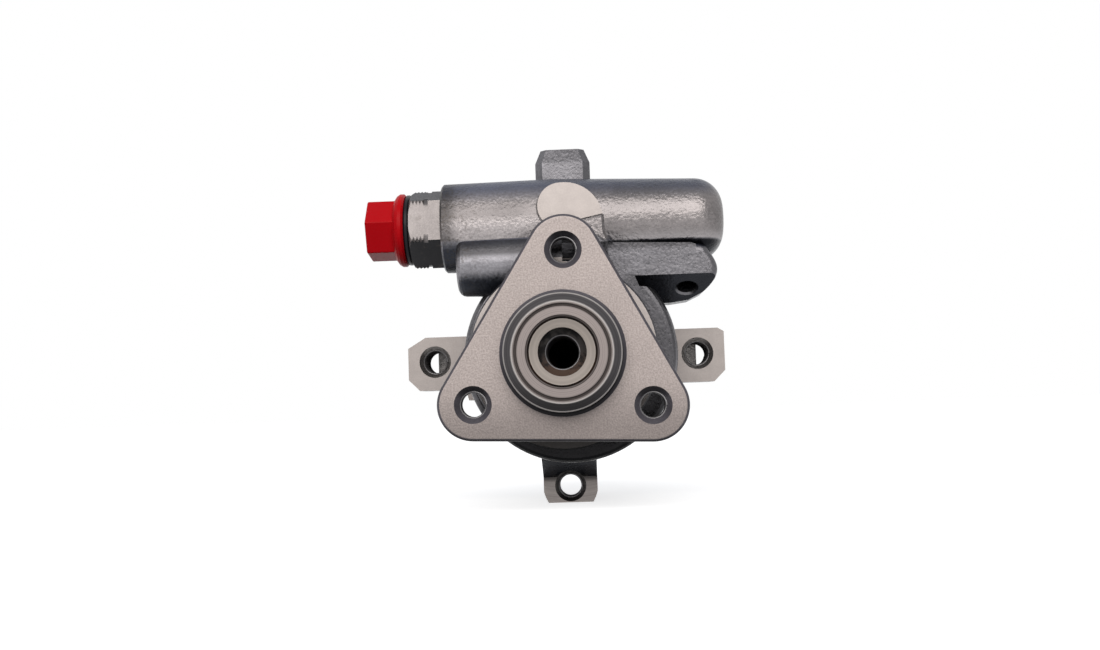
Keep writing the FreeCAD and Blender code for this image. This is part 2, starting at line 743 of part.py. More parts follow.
def o_ring_groove(y):
    depth = 2 * O_RING_RADIUS
    return turned([
        (CAVITY_RADIUS - depth, y - O_RING_RADIUS),
        (CAVITY_RADIUS + 1.0, y - O_RING_RADIUS),
        (CAVITY_RADIUS + 1.0, y + O_RING_RADIUS),
        (CAVITY_RADIUS - depth, y + O_RING_RADIUS),
    ])


def plate_seal_y():
    return PRESSURE_PLATE_Y + PRESSURE_PLATE_THICKNESS / 2


def cover_seal_y():
    return END_COVER_Y + END_COVER_THICKNESS / 2


def make_o_ring(y):
    return wire_ring(CAVITY_RADIUS - O_RING_RADIUS, O_RING_RADIUS, y)


def make_pressure_plate():
    plate = cylinder_y(CAVITY_RADIUS - CAVITY_CLEARANCE, PRESSURE_PLATE_Y, SPRING_Y)
    cuts = [cylinder_y(PLATE_BORE_RADIUS, PRESSURE_PLATE_Y, SPRING_Y), o_ring_groove(plate_seal_y())]
    cuts += dowel_holes(PRESSURE_PLATE_Y, dowel_back_y())
    for angle in port_angles("pressure"):
        cuts.append(sector(PORT_INNER_RADIUS, ROTOR_RADIUS, PRESSURE_PLATE_Y, SPRING_Y, angle, PORT_SPAN))
    for angle in port_angles("suction"):
        recess_back = PRESSURE_PLATE_Y + 1.5
        cuts.append(sector(PORT_INNER_RADIUS, ROTOR_RADIUS, PRESSURE_PLATE_Y, recess_back, angle, PORT_SPAN))
    return clean(plate.cut(cuts))


def make_dowel_pins():
    return Part.makeCompound(dowel_holes(CAVITY_Y - DOWEL_DEPTH, dowel_back_y()))


def make_pressure_plate_spring():
    """A conical spring washer between the pressure plate and the end cover."""
    return clean(turned([
        (SPRING_INNER_RADIUS, SPRING_Y),
        (SPRING_INNER_RADIUS + 1.0, SPRING_Y),
        (SPRING_OUTER_RADIUS, END_COVER_Y - SPRING_THICKNESS),
        (SPRING_OUTER_RADIUS, END_COVER_Y),
        (SPRING_OUTER_RADIUS - 1.0, END_COVER_Y),
        (SPRING_INNER_RADIUS, SPRING_Y + SPRING_THICKNESS),
    ]))


def make_end_cover():
    back = END_COVER_Y + END_COVER_THICKNESS
    rim = CAVITY_RADIUS - CAVITY_CLEARANCE
    cover = turned([
        (0.0, END_COVER_Y),
        (rim, END_COVER_Y),
        (rim, back),
        (END_COVER_DISH_RADIUS + END_COVER_DISH_DEPTH, back),
        (END_COVER_DISH_RADIUS, back - END_COVER_DISH_DEPTH),
        (0.0, back - END_COVER_DISH_DEPTH),
    ])
    return clean(cover.cut(o_ring_groove(cover_seal_y())))


def make_end_cover_retaining_ring():
    ring = wire_ring(CAVITY_RADIUS, COVER_RING_WIRE_RADIUS, COVER_RING_Y)
    reach = COVER_RING_WIRE_RADIUS + 1.0
    gap = sector(CAVITY_RADIUS - reach, CAVITY_RADIUS + reach, COVER_RING_Y - reach, COVER_RING_Y + reach,
                 270.0 - COVER_RING_GAP_ANGLE / 2, COVER_RING_GAP_ANGLE)
    return clean(ring.cut(gap))


# Housing

def round_body():
    """The round body, with a rounded front rim and a bevelled back rim."""
    rim = arc_points(BODY_RADIUS - BODY_FRONT_ROUND, BODY_FRONT_Y + BODY_FRONT_ROUND, BODY_FRONT_ROUND,
                     -90.0, 0.0, 4)
    body = turned([(0.0, BODY_FRONT_Y)] + rim + [
        (BODY_RADIUS, HOUSING_BACK_Y - REAR_CHAMFER),
        (BODY_RADIUS - REAR_CHAMFER, HOUSING_BACK_Y),
        (0.0, HOUSING_BACK_Y),
    ])
    body.translate(FreeCAD.Vector(BODY_OFFSET_X, 0, 0))
    return body


def front_boss():
    return turned([
        (0.0, BOSS_Y),
        (BOSS_RADIUS - BOSS_EDGE, BOSS_Y),
        (BOSS_RADIUS, BOSS_Y + BOSS_EDGE),
        (BOSS_RADIUS, BODY_FRONT_Y + 1.0),
        (0.0, BODY_FRONT_Y + 1.0),
    ])


def valve_barrel():
    """The barrel, largest at its crown, with a machined left end and a domed right end."""
    straight_end = BARREL_DOME_X - BARREL_DOME_ROUND
    profile = [
        (BARREL_LEFT_X, 0.0),
        (BARREL_LEFT_X, BARREL_LEFT_RADIUS - BARREL_EDGE),
        (BARREL_LEFT_X + BARREL_EDGE, BARREL_LEFT_RADIUS),
        (BARREL_CROWN_X, BARREL_CROWN_RADIUS),
        (straight_end, BARREL_DOME_RADIUS),
    ]
    points = [FreeCAD.Vector(x, BARREL_Y, BARREL_Z + radius) for x, radius in profile]
    inner = BARREL_DOME_RADIUS - BARREL_DOME_ROUND
    corner = math.radians(45.0)
    arc_middle = FreeCAD.Vector(
        straight_end + BARREL_DOME_ROUND * math.cos(corner),
        BARREL_Y,
        BARREL_Z + inner + BARREL_DOME_ROUND * math.sin(corner),
    )
    arc_end = FreeCAD.Vector(BARREL_DOME_X, BARREL_Y, BARREL_Z + inner)
    centre_end = FreeCAD.Vector(BARREL_DOME_X, BARREL_Y, BARREL_Z)
    edges = [Part.LineSegment(points[i], points[i + 1]).toShape() for i in range(len(points) - 1)]
    edges.append(Part.Arc(points[-1], arc_middle, arc_end).toShape())
    edges.append(Part.LineSegment(arc_end, centre_end).toShape())
    edges.append(Part.LineSegment(centre_end, points[0]).toShape())
    return Part.Face(Part.Wire(edges)).revolve(BARREL_AXIS, ALONG_X, 360)


def pad_outline(y):
    """The machined pad: a half circle at the left and a longer curve down to the right tip."""
    top = FreeCAD.Vector(PAD_X, y, PAD_Z + PAD_RADIUS)
    left = FreeCAD.Vector(PAD_X - PAD_RADIUS, y, PAD_Z)
    low = FreeCAD.Vector(PAD_X - PAD_RADIUS * 0.8, y, PAD_Z - PAD_RADIUS * 0.6)
    tip = FreeCAD.Vector(PAD_TIP_X, y, PAD_TIP_Z)
    bulge = FreeCAD.Vector(PAD_X + 0.72 * (PAD_TIP_X - PAD_X), y, PAD_Z + PAD_RADIUS * 0.55)
    heel = FreeCAD.Vector(PAD_X + PAD_RADIUS * 0.85, y, PAD_Z - PAD_RADIUS * 0.6)
    return Part.Wire([
        Part.Arc(low, left, top).toShape(),
        Part.Arc(top, bulge, tip).toShape(),
        Part.LineSegment(tip, heel).toShape(),
        Part.LineSegment(heel, low).toShape(),
    ])


def barrel_pad():
    """The pad, and the web that carries it down to the lug."""
    pad = Part.Face(pad_outline(BOSS_Y)).extrude(FreeCAD.Vector(0, BARREL_Y - BOSS_Y, 0))
    web_y = BOSS_Y + WEB_STEP
    left = PAD_X - PAD_RADIUS * 0.8
    upper = prism_y([
        (left, PAD_Z - PAD_RADIUS * 0.6),
        (PAD_TIP_X + 0.4, PAD_TIP_Z),
        (PAD_TIP_X + 0.6, LUG_LEDGE_Z + 2.8),
        (PAD_TIP_X + 1.4, LUG_LEDGE_Z + 0.8),
        (PAD_TIP_X + 3.0, LUG_LEDGE_Z - 0.4),
        (left, LUG_LEDGE_Z - 0.4),
    ], web_y, BARREL_Y)
    right = edges_where(upper, lambda e: e.BoundBox.YMax < web_y + 0.01
                        and e.BoundBox.XMin > PAD_TIP_X + 0.3)
    upper = upper.makeChamfer(WEB_EDGE_ROUND, right)
    lower = prism_x([
        (web_y, LUG_LEDGE_Z),
        (LUG_FRONT_Y, LUG_EDGE_Z + WEB_FOOT_RISE),
        (BARREL_Y, LUG_EDGE_Z + WEB_FOOT_RISE),
        (BARREL_Y, LUG_LEDGE_Z),
    ], left, PAD_TIP_X + 1.4)
    return [pad, upper, lower]


def left_block():
    """The round-nosed left half of the lower beam, a little fatter towards the middle."""
    rim = arc_points(BLOCK_RADIUS - BLOCK_END_ROUND, BLOCK_LEFT_X + BLOCK_END_ROUND, BLOCK_END_ROUND,
                     -90.0, 0.0, 4)
    profile = [(BLOCK_LEFT_X, 0.0)] + [(x, radius) for radius, x in rim] + [
        (PAD_X, BLOCK_RADIUS + BLOCK_SWELL),
        (PAD_X, 0.0),
    ]
    points = [FreeCAD.Vector(x, BLOCK_Y, BLOCK_Z + radius) for x, radius in profile]
    nose = face_of(points).revolve(FreeCAD.Vector(0, BLOCK_Y, BLOCK_Z), ALONG_X, 360)
    back = prism_x([
        (BLOCK_Y, BLOCK_Z - BLOCK_RADIUS),
        (LUG_BACK_Y, BLOCK_Z - BLOCK_RADIUS + BLOCK_BACK_RISE),
        (LUG_BACK_Y, BLOCK_Z + BLOCK_RADIUS),
        (BLOCK_Y, BLOCK_Z + BLOCK_RADIUS),
    ], BLOCK_LEFT_X + BLOCK_END_ROUND, PAD_X)
    return nose.fuse(back)


def lug_contour(y):
    """The lug's round right side, from its bottom up to the end of its ledge."""
    ledge_z = LUG_LEDGE_Z - LUG_LEDGE_FALL
    spots = [
        (LUG_RIGHT_X - LUG_CURVE, LUG_BOTTOM_Z),
        (LUG_RIGHT_X - LUG_CURVE * 0.3, LUG_BOTTOM_Z + LUG_CURVE * 0.19),
        (LUG_RIGHT_X, LUG_SIDE_Z),
        (LUG_RIGHT_X - LUG_LEDGE_END * 0.3, ledge_z - LUG_LEDGE_END * 0.3),
        (LUG_RIGHT_X - LUG_LEDGE_END, ledge_z),
    ]
    curve = Part.BSplineCurve()
    curve.interpolate([FreeCAD.Vector(x, y, z) for x, z in spots],
                      InitialTangent=ALONG_X, FinalTangent=FreeCAD.Vector(-1, 0, 0))
    return curve


def lug_front():
    """The front of the lug, round at its right rim and sharp along its ledge."""
    contour = lug_contour(LUG_FRONT_Y)
    start = contour.StartPoint
    end = contour.EndPoint
    top_left = FreeCAD.Vector(LUG_LEFT_X, LUG_FRONT_Y, end.z)
    low_left = FreeCAD.Vector(LUG_LEFT_X, LUG_FRONT_Y, start.z)
    outline = Part.Wire([
        contour.toShape(),
        Part.LineSegment(end, top_left).toShape(),
        Part.LineSegment(top_left, low_left).toShape(),
        Part.LineSegment(low_left, start).toShape(),
    ])
    body = Part.Face(outline).extrude(FreeCAD.Vector(0, LUG_LEDGE_Y + 1.0 - LUG_FRONT_Y, 0))
    rim = edges_where(body, lambda e: e.BoundBox.YMax < LUG_FRONT_Y + 0.01 and e.BoundBox.XLength > 1.0)
    body = body.makeFillet(LUG_EDGE_ROUND, rim)
    ledge = prism_y([
        (LUG_LEFT_X, end.z - LUG_EDGE_ROUND),
        (end.x + 1.5, end.z - LUG_EDGE_ROUND),
        (end.x + 1.5, end.z - 0.5),
        (end.x, end.z),
        (LUG_LEFT_X, LUG_LEDGE_Z),
    ], LUG_FRONT_Y, LUG_LEDGE_Y)
    return body.fuse(ledge)


def right_lug():
    """The right half of the lower beam: a flat front under a ledge, and a sloping underside."""
    rear = prism_y([
        (LUG_LEFT_X, LUG_BOTTOM_Z),
        (LUG_RIGHT_X - LUG_CURVE, LUG_BOTTOM_Z),
        (LUG_RIGHT_X - LUG_CURVE * 0.6, LUG_BOTTOM_Z + LUG_CURVE * 0.05),
        (LUG_RIGHT_X - LUG_CURVE * 0.3, LUG_BOTTOM_Z + LUG_CURVE * 0.19),
        (LUG_RIGHT_X - LUG_CURVE * 0.1, LUG_BOTTOM_Z + LUG_CURVE * 0.39),
        (LUG_RIGHT_X, LUG_SIDE_Z),
        (LUG_RIGHT_X - 1.2, LUG_SIDE_Z + 5.5),
        (LUG_RIGHT_X - 4.0, BARREL_Z),
        (LUG_LEFT_X, BARREL_Z),
    ], LUG_LEDGE_Y, LUG_BACK_Y)
    slope_back_y = LUG_FRONT_Y + (LUG_EDGE_Z - LUG_BOTTOM_Z) / math.tan(math.radians(LUG_SLOPE))
    wedge = prism_x([
        (LUG_FRONT_Y - 1.0, LUG_BOTTOM_Z - 1.0),
        (LUG_FRONT_Y - 1.0, LUG_EDGE_Z + math.tan(math.radians(LUG_SLOPE))),
        (slope_back_y, LUG_BOTTOM_Z),
        (slope_back_y, LUG_BOTTOM_Z - 1.0),
    ], LUG_LEFT_X, LUG_RIGHT_X + 1.0)
    return lug_front().fuse(rear).cut(wedge)


def beam_middle():
    """Joins the block and the lug behind the front boss."""
    bottom = BLOCK_Z - BLOCK_RADIUS
    left = PAD_X - PAD_RADIUS
    return prism_y([
        (left, BARREL_Z),
        (left, bottom),
        (PAD_TIP_X, bottom),
        (PAD_TIP_X + 5.0, LUG_BOTTOM_Z - 3.0),
        (LUG_UNDERSIDE_X + 4.4, LUG_BOTTOM_Z - 3.0),
        (LUG_UNDERSIDE_X + 1.7, bottom),
        (LUG_UNDERSIDE_X, LUG_EDGE_Z),
        (LUG_UNDERSIDE_X, LUG_LEDGE_Z - LUG_LEDGE_FALL),
        (PAD_TIP_X, LUG_LEDGE_Z - LUG_LEDGE_FALL),
        (PAD_TIP_X, BARREL_Z),
    ], LUG_FRONT_Y, LUG_BACK_Y)


def lug_hole():
    """A drilled hole, square to the sloping underside of the lug."""
    slope = math.radians(LUG_SLOPE)
    inward = FreeCAD.Vector(0, math.sin(slope), math.cos(slope))
    start = FreeCAD.Vector(
        LUG_HOLE_X,
        LUG_FRONT_Y + LUG_HOLE_ALONG * math.cos(slope),
        LUG_EDGE_Z - LUG_HOLE_ALONG * math.sin(slope),
    )
    outside = start - inward
    chamfer = Part.makeCone(LUG_HOLE_RADIUS + 0.6, LUG_HOLE_RADIUS, 0.6, start, inward)
    return Part.makeCylinder(LUG_HOLE_RADIUS, LUG_HOLE_DEPTH + 1.0, outside, inward).fuse(chamfer)


def inlet_column():
    half = INLET_WIDTH / 2
    back = INLET_FRONT_Y + INLET_WIDTH
    chamfer = INLET_SIDE_CHAMFER
    outline = [
        (INLET_X - half + chamfer, INLET_FRONT_Y),
        (INLET_X + half - chamfer, INLET_FRONT_Y),
        (INLET_X + half, INLET_FRONT_Y + chamfer),
        (INLET_X + half, back - chamfer),
        (INLET_X + half - chamfer, back),
        (INLET_X - half + chamfer, back),
        (INLET_X - half, back - chamfer),
        (INLET_X - half, INLET_FRONT_Y + chamfer),
    ]
    taper_z = INLET_TOP_Z - INLET_TAPER_HEIGHT
    points = [FreeCAD.Vector(x, y, BODY_RADIUS * 0.7) for x, y in outline]
    column = face_of(points).extrude(FreeCAD.Vector(0, 0, taper_z - BODY_RADIUS * 0.7))
    middle_y = INLET_FRONT_Y + half
    share = 1.0 - INLET_TOP_TAPER / half
    low = [FreeCAD.Vector(x, y, taper_z) for x, y in outline]
    high = [FreeCAD.Vector(INLET_X + (x - INLET_X) * share, middle_y + (y - middle_y) * share, INLET_TOP_Z)
            for x, y in outline]
    rings = [Part.makePolygon(ring + [ring[0]]) for ring in (low, high)]
    return column.fuse(Part.makeLoft(rings, True, True))


def inlet_bores():
    """The hose port and the narrower passage from its foot down to the pumping set."""
    middle_y = INLET_FRONT_Y + INLET_WIDTH / 2
    port_foot = INLET_TOP_Z - INLET_PORT_DEPTH
    port = Part.makeCylinder(
        INLET_BORE_RADIUS, INLET_PORT_DEPTH, FreeCAD.Vector(INLET_X, middle_y, port_foot), ALONG_Z)
    passage = Part.makeCylinder(
        INLET_PASSAGE_RADIUS, port_foot - INLET_PASSAGE_BOTTOM_Z,
        FreeCAD.Vector(INLET_X, middle_y, INLET_PASSAGE_BOTTOM_Z), ALONG_Z)
    return [port, passage]


def side_ear(side):
    """An ear at the left (-1) or right (1), with a gusset to the body and a rib behind it."""
    end = EAR_CIRCLE_RADIUS + EAR_REACH
    top = EAR_HALF_WIDTH - EAR_DROP
    bottom = -EAR_HALF_WIDTH - EAR_DROP
    corner = LEFT_EAR_CORNER if side < 0 else RIGHT_EAR_CORNER
    outline = [
        (EAR_ROOT_X, top),
        (end - corner, top),
        (end - corner / 2, top - corner / 2 * EAR_CORNER_DROP),
        (end, top - corner * EAR_CORNER_DROP),
        (end, bottom + EAR_LOW_CORNER),
        (end - EAR_LOW_CORNER, bottom),
        (EAR_GUSSET_X, bottom),
        (EAR_GUSSET_X - 1.0, bottom - EAR_GUSSET_DROP),
        (EAR_ROOT_X, bottom - EAR_GUSSET_DROP),
    ]
    ear = prism_y([(side * x, z) for x, z in outline], EAR_FRONT_Y, EAR_BACK_Y)
    rib = Part.Face(Part.makePolygon([
        FreeCAD.Vector(side * EAR_ROOT_X, EAR_BACK_Y, -RIB_HALF_HEIGHT),
        FreeCAD.Vector(side * RIB_END_X, EAR_BACK_Y, -RIB_HALF_HEIGHT),
        FreeCAD.Vector(side * EAR_GUSSET_X, RIB_BACK_Y, -RIB_HALF_HEIGHT),
        FreeCAD.Vector(side * EAR_ROOT_X, RIB_BACK_Y, -RIB_HALF_HEIGHT),
        FreeCAD.Vector(side * EAR_ROOT_X, EAR_BACK_Y, -RIB_HALF_HEIGHT),
    ])).extrude(FreeCAD.Vector(0, 0, 2 * RIB_HALF_HEIGHT))
    return ear.fuse(rib)


def bottom_ear():
    """The lower ear, with a sloping neck in front between it and the body."""
    low = BOTTOM_EAR_HOLE_Z - BOTTOM_EAR_REACH
    half = BOTTOM_EAR_HALF_WIDTH
    ear = prism_y([
        (-half, -BODY_RADIUS * 0.8),
        (-half, low + BOTTOM_EAR_CORNER_Z),
        (-half + BOTTOM_EAR_CORNER_X * 0.4, low + BOTTOM_EAR_CORNER_Z * 0.5),
        (-half + BOTTOM_EAR_CORNER_X, low),
        (half - BOTTOM_EAR_CORNER_X, low),
        (half - BOTTOM_EAR_CORNER_X * 0.4, low + BOTTOM_EAR_CORNER_Z * 0.5),
        (half, low + BOTTOM_EAR_CORNER_Z),
        (half, -BODY_RADIUS * 0.8),
    ], BOTTOM_EAR_FRONT_Y, EAR_BACK_Y)
    neck = prism_x([
        (BOTTOM_EAR_FRONT_Y, -BOTTOM_EAR_FACE_Z),
        (BOTTOM_EAR_NECK_Y, -BODY_RADIUS + 0.6),
        (BOTTOM_EAR_NECK_Y, -BODY_RADIUS * 0.8),
        (EAR_BACK_Y, -BODY_RADIUS * 0.8),
        (EAR_BACK_Y, -BOTTOM_EAR_FACE_Z),
    ], -half, half)
    return ear.fuse(neck)


def ear_holes():
    """The tapped holes of the ears; the countersink of the lower one also bites into the neck's foot."""
    side = EAR_CIRCLE_RADIUS
    low_front = BOTTOM_EAR_FRONT_Y
    bite = EAR_HOLE_CORE / 2 + EAR_HOLE_CHAMFER
    return [
        tapped_hole(EAR_HOLE_CORE, EAR_HOLE_CHAMFER, EAR_FRONT_Y, EAR_BACK_Y, -side, 0.0, False),
        tapped_hole(EAR_HOLE_CORE, EAR_HOLE_CHAMFER, EAR_FRONT_Y, EAR_BACK_Y, side, 0.0, False),
        tapped_hole(EAR_HOLE_CORE, EAR_HOLE_CHAMFER, low_front, EAR_BACK_Y, 0.0, BOTTOM_EAR_HOLE_Z, False),
        cylinder_y(bite, BOTTOM_EAR_NECK_Y, low_front, 0.0, BOTTOM_EAR_HOLE_Z),
    ]


def passage_ridge():
    radius = PASSAGE_RADIUS + PASSAGE_WALL
    return cylinder_y(radius, BARREL_Y, HOUSING_BACK_Y - REAR_CHAMFER, PASSAGE_X, PASSAGE_Z)


def plug_back_y():
    return HOUSING_BACK_Y - REAR_CHAMFER - PASSAGE_PLUG_INSET


def passage_bores():
    """The long passage, its plug seat and the short port down to the space behind the plate."""
    plug_front = plug_back_y() - PASSAGE_PLUG_LENGTH
    port_y = (SPRING_Y + END_COVER_Y) / 2
    port = Part.makeCylinder(
        PASSAGE_PORT_RADIUS, PASSAGE_Z - CAVITY_RADIUS * 0.7,
        FreeCAD.Vector(PASSAGE_X, port_y, CAVITY_RADIUS * 0.7), ALONG_Z)
    return [
        cylinder_y(PASSAGE_RADIUS, BARREL_Y, plug_front + 0.5, PASSAGE_X, PASSAGE_Z),
        cylinder_y(PASSAGE_PLUG_RADIUS, plug_front, HOUSING_BACK_Y + 1.0, PASSAGE_X, PASSAGE_Z),
        port,
    ]


def make_passage_plug():
    """A cup plug, driven into the back end of the passage."""
    front = plug_back_y() - PASSAGE_PLUG_LENGTH
    plug = cylinder_y(PASSAGE_PLUG_RADIUS, front, plug_back_y(), PASSAGE_X, PASSAGE_Z)
    cup = cylinder_y(PASSAGE_PLUG_RADIUS - 1.2, front + 1.4, plug_back_y(), PASSAGE_X, PASSAGE_Z)
    return clean(plug.cut(cup))


def shaft_line_bores():
    """All bores on the shaft axis, from the bearing seat to the open back."""
    ring_outer = BEARING_OUTER_RADIUS + RING_GROOVE_DEPTH
    ring_front = BOSS_Y + RING_SEAT_DEPTH - RING_CLEARANCE
    relief = SHAFT_COLLAR_RADIUS + SHAFT_PASS_CLEARANCE
    return [
        turned([
            (0.0, BOSS_Y),
            (BEARING_OUTER_RADIUS, BOSS_Y),
            (BEARING_OUTER_RADIUS, BEARING_BACK_Y),
            (SEAL_RADIUS, BEARING_BACK_Y),
            (SEAL_RADIUS, SEAL_BACK_Y),
            (relief, SEAL_BACK_Y),
            (relief, BUSH_Y),
            (BUSH_JOURNAL_RADIUS + BUSH_WALL, BUSH_Y),
            (BUSH_JOURNAL_RADIUS + BUSH_WALL, CAVITY_Y),
            (CAVITY_RADIUS, CAVITY_Y),
            (CAVITY_RADIUS, HOUSING_BACK_Y),
            (0.0, HOUSING_BACK_Y),
        ]),
        turned([
            (BEARING_OUTER_RADIUS - 1.0, ring_front),
            (ring_outer, ring_front),
            (ring_outer, BEARING_Y),
            (BEARING_OUTER_RADIUS - 1.0, BEARING_Y),
        ]),
        wire_ring(CAVITY_RADIUS, COVER_RING_GROOVE, COVER_RING_Y),
    ]


def valve_bores():
    return [
        cylinder_x(VALVE_BORE_RADIUS, BARREL_LEFT_X, VALVE_BORE_END_X),
        cylinder_x(FITTING_SHANK_RADIUS, BARREL_LEFT_X, SHANK_END_X),
    ]


def make_housing():
    casting = round_body().fuse([front_boss(), valve_barrel(), left_block(), right_lug()])
    casting = casting.fuse(barrel_pad() + [beam_middle(), inlet_column(), passage_ridge()])
    casting = casting.fuse([side_ear(-1), side_ear(1), bottom_ear()])
    cuts = shaft_line_bores() + valve_bores() + passage_bores() + ear_holes()
    cuts += dowel_holes(CAVITY_Y - DOWEL_DEPTH, CAVITY_Y)
    cuts += inlet_bores() + [lug_hole()]
    return clean(casting.cut(cuts))


# Outlet fitting and transit plug

def make_outlet_fitting():
    left = FITTING_LEFT_X
    collar_left = BARREL_LEFT_X - FITTING_FLANGE - FITTING_COLLAR
    neck_left = collar_left - FITTING_NECK
    neck_radius = FITTING_RADIUS - FITTING_NECK_DEPTH
    outside = turned_on_barrel([
        (left, 0.0),
        (left, FITTING_RADIUS - FITTING_EDGE),
        (left + FITTING_EDGE, FITTING_RADIUS),
        (neck_left, FITTING_RADIUS),
        (neck_left, neck_radius),
        (collar_left, neck_radius),
        (collar_left, FITTING_RADIUS),
        (BARREL_LEFT_X, FITTING_RADIUS),
        (BARREL_LEFT_X, 0.0),
    ])
    outside = outside.common(hexagon_x(FITTING_HEX, left, BARREL_LEFT_X, FITTING_HEX_TURN))
    flange = cylinder_x(FITTING_RADIUS, BARREL_LEFT_X - FITTING_FLANGE, BARREL_LEFT_X)
    groove_x = BARREL_LEFT_X + FITTING_SEAL_OFFSET
    groove_bottom = FITTING_SHANK_RADIUS - 2 * O_RING_RADIUS
    shank = turned_on_barrel([
        (BARREL_LEFT_X, 0.0),
        (BARREL_LEFT_X, FITTING_SHANK_RADIUS),
        (groove_x - O_RING_RADIUS, FITTING_SHANK_RADIUS),
        (groove_x - O_RING_RADIUS, groove_bottom),
        (groove_x + O_RING_RADIUS, groove_bottom),
        (groove_x + O_RING_RADIUS, FITTING_SHANK_RADIUS),
        (SHANK_END_X, FITTING_SHANK_RADIUS),
        (SHANK_END_X, FITTING_NOSE_RADIUS),
        (SPOOL_X, FITTING_NOSE_RADIUS),
        (SPOOL_X, 0.0),
    ])
    port = cylinder_x(FITTING_PORT_RADIUS, left, left + FITTING_PORT_DEPTH)
    orifice = cylinder_x(FITTING_ORIFICE_RADIUS, left, SPOOL_X)
    return clean(outside.fuse([flange, shank]).cut([port, orifice]))


def make_fitting_seal():
    place = BARREL_LEFT_X + FITTING_SEAL_OFFSET
    section = wire_section(FITTING_SHANK_RADIUS - O_RING_RADIUS, O_RING_RADIUS, place)
    return turned_on_barrel([(x, radius) for radius, x in section])


def cap_shank_radius():
    return FITTING_PORT_RADIUS - CAP_SHANK_CLEARANCE


def make_port_cap():
    """A moulded plug: hex head, collar and a hollow shank in the fitting's port."""
    shank_end = FITTING_LEFT_X + CAP_SHANK_LENGTH
    body = turned_on_barrel([
        (CAP_COLLAR_X, 0.0),
        (CAP_COLLAR_X, CAP_COLLAR_RADIUS - CAP_COLLAR_SLOPE),
        (CAP_COLLAR_X + CAP_COLLAR_SLOPE * 0.5, CAP_COLLAR_RADIUS - CAP_COLLAR_SLOPE * 0.3),
        (CAP_COLLAR_X + CAP_COLLAR_SLOPE, CAP_COLLAR_RADIUS),
        (CAP_RING_X - CAP_EDGE, CAP_COLLAR_RADIUS),
        (CAP_RING_X, CAP_COLLAR_RADIUS - CAP_EDGE),
        (CAP_RING_X, cap_shank_radius()),
        (shank_end, cap_shank_radius()),
        (shank_end, 0.0),
    ])
    head = hexagon_x(CAP_HEX, CAP_END_X, CAP_COLLAR_X, CAP_HEX_TURN)
    edges = edges_where(head, lambda e: e.BoundBox.XMax < CAP_END_X + 0.01 or e.BoundBox.XLength > 1.0)
    head = head.makeFillet(CAP_EDGE, edges)
    hollow_radius = cap_shank_radius() - CAP_WALL
    head_floor = cylinder_x(hollow_radius, CAP_END_X, CAP_COLLAR_X)
    shank_hollow = cylinder_x(hollow_radius, CAP_RING_X, shank_end)
    return clean(body.fuse(head).cut([head_floor, shank_hollow]))


def make_port_cap_seal():
    """A square-cut rubber ring with rounded outer corners, between the plug and the fitting."""
    round_off = CAP_RING_WIDTH * 0.3
    inner = cap_shank_radius()
    return clean(turned_on_barrel([
        (CAP_RING_X, inner),
        (CAP_RING_X, CAP_RING_RADIUS - round_off),
        (CAP_RING_X + round_off, CAP_RING_RADIUS),
        (FITTING_LEFT_X - round_off, CAP_RING_RADIUS),
        (FITTING_LEFT_X, CAP_RING_RADIUS - round_off),
        (FITTING_LEFT_X, inner),
    ]))


# Flow control valve

def make_valve_spool():
    radius = VALVE_BORE_RADIUS - SPOOL_CLEARANCE
    groove_left = SPOOL_X + SPOOL_GROOVE_START
    groove_right = groove_left + SPOOL_GROOVE_WIDTH
    groove_radius = radius - SPOOL_GROOVE_DEPTH
    spool = turned_on_barrel([
        (SPOOL_X, 0.0),
        (SPOOL_X, radius - SPOOL_EDGE),
        (SPOOL_X + SPOOL_EDGE, radius),
        (groove_left, radius),
        (groove_left, groove_radius),
        (groove_right, groove_radius),
        (groove_right, radius),
        (SPOOL_END_X - SPOOL_EDGE, radius),
        (SPOOL_END_X, radius - SPOOL_EDGE),
        (SPOOL_END_X, 0.0),
    ])
    bore = cylinder_x(SPOOL_BORE_RADIUS, SPOOL_END_X - SPOOL_BORE_DEPTH, SPOOL_END_X)
    relief_port = Part.makeCylinder(
        1.2, 2 * radius, FreeCAD.Vector(groove_right - 2.0, BARREL_Y - radius, BARREL_Z), ALONG_Y)
    return clean(spool.cut([bore, relief_port]))


def relief_seat_x():
    return SPOOL_END_X - RELIEF_PLUG_LENGTH


def relief_ball_x():
    """The ball's centre when it rests on the rim of the orifice."""
    seat = math.sqrt(RELIEF_BALL_RADIUS ** 2 - RELIEF_PLUG_ORIFICE ** 2)
    return relief_seat_x() - seat


def relief_guide_x():
    """The face of the guide that the ball sits in."""
    rim = math.sqrt(RELIEF_BALL_RADIUS ** 2 - RELIEF_GUIDE_CUP ** 2)
    return relief_ball_x() - rim


def make_relief_plug():
    plug = cylinder_x(SPOOL_BORE_RADIUS, relief_seat_x(), SPOOL_END_X)
    return clean(plug.cut(cylinder_x(RELIEF_PLUG_ORIFICE, relief_seat_x(), SPOOL_END_X)))


def make_relief_ball():
    return Part.makeSphere(RELIEF_BALL_RADIUS, FreeCAD.Vector(relief_ball_x(), BARREL_Y, BARREL_Z))


def make_relief_guide():
    right = relief_guide_x()
    left = right - RELIEF_GUIDE_LENGTH
    stem = RELIEF_GUIDE_RADIUS - 2 * RELIEF_WIRE_RADIUS - 0.4
    guide = turned_on_barrel([
        (left, 0.0),
        (left, stem),
        (right - 1.5, stem),
        (right - 1.5, RELIEF_GUIDE_RADIUS),
        (right, RELIEF_GUIDE_RADIUS),
        (right, 0.0),
    ])
    return clean(guide.cut(make_relief_ball()))


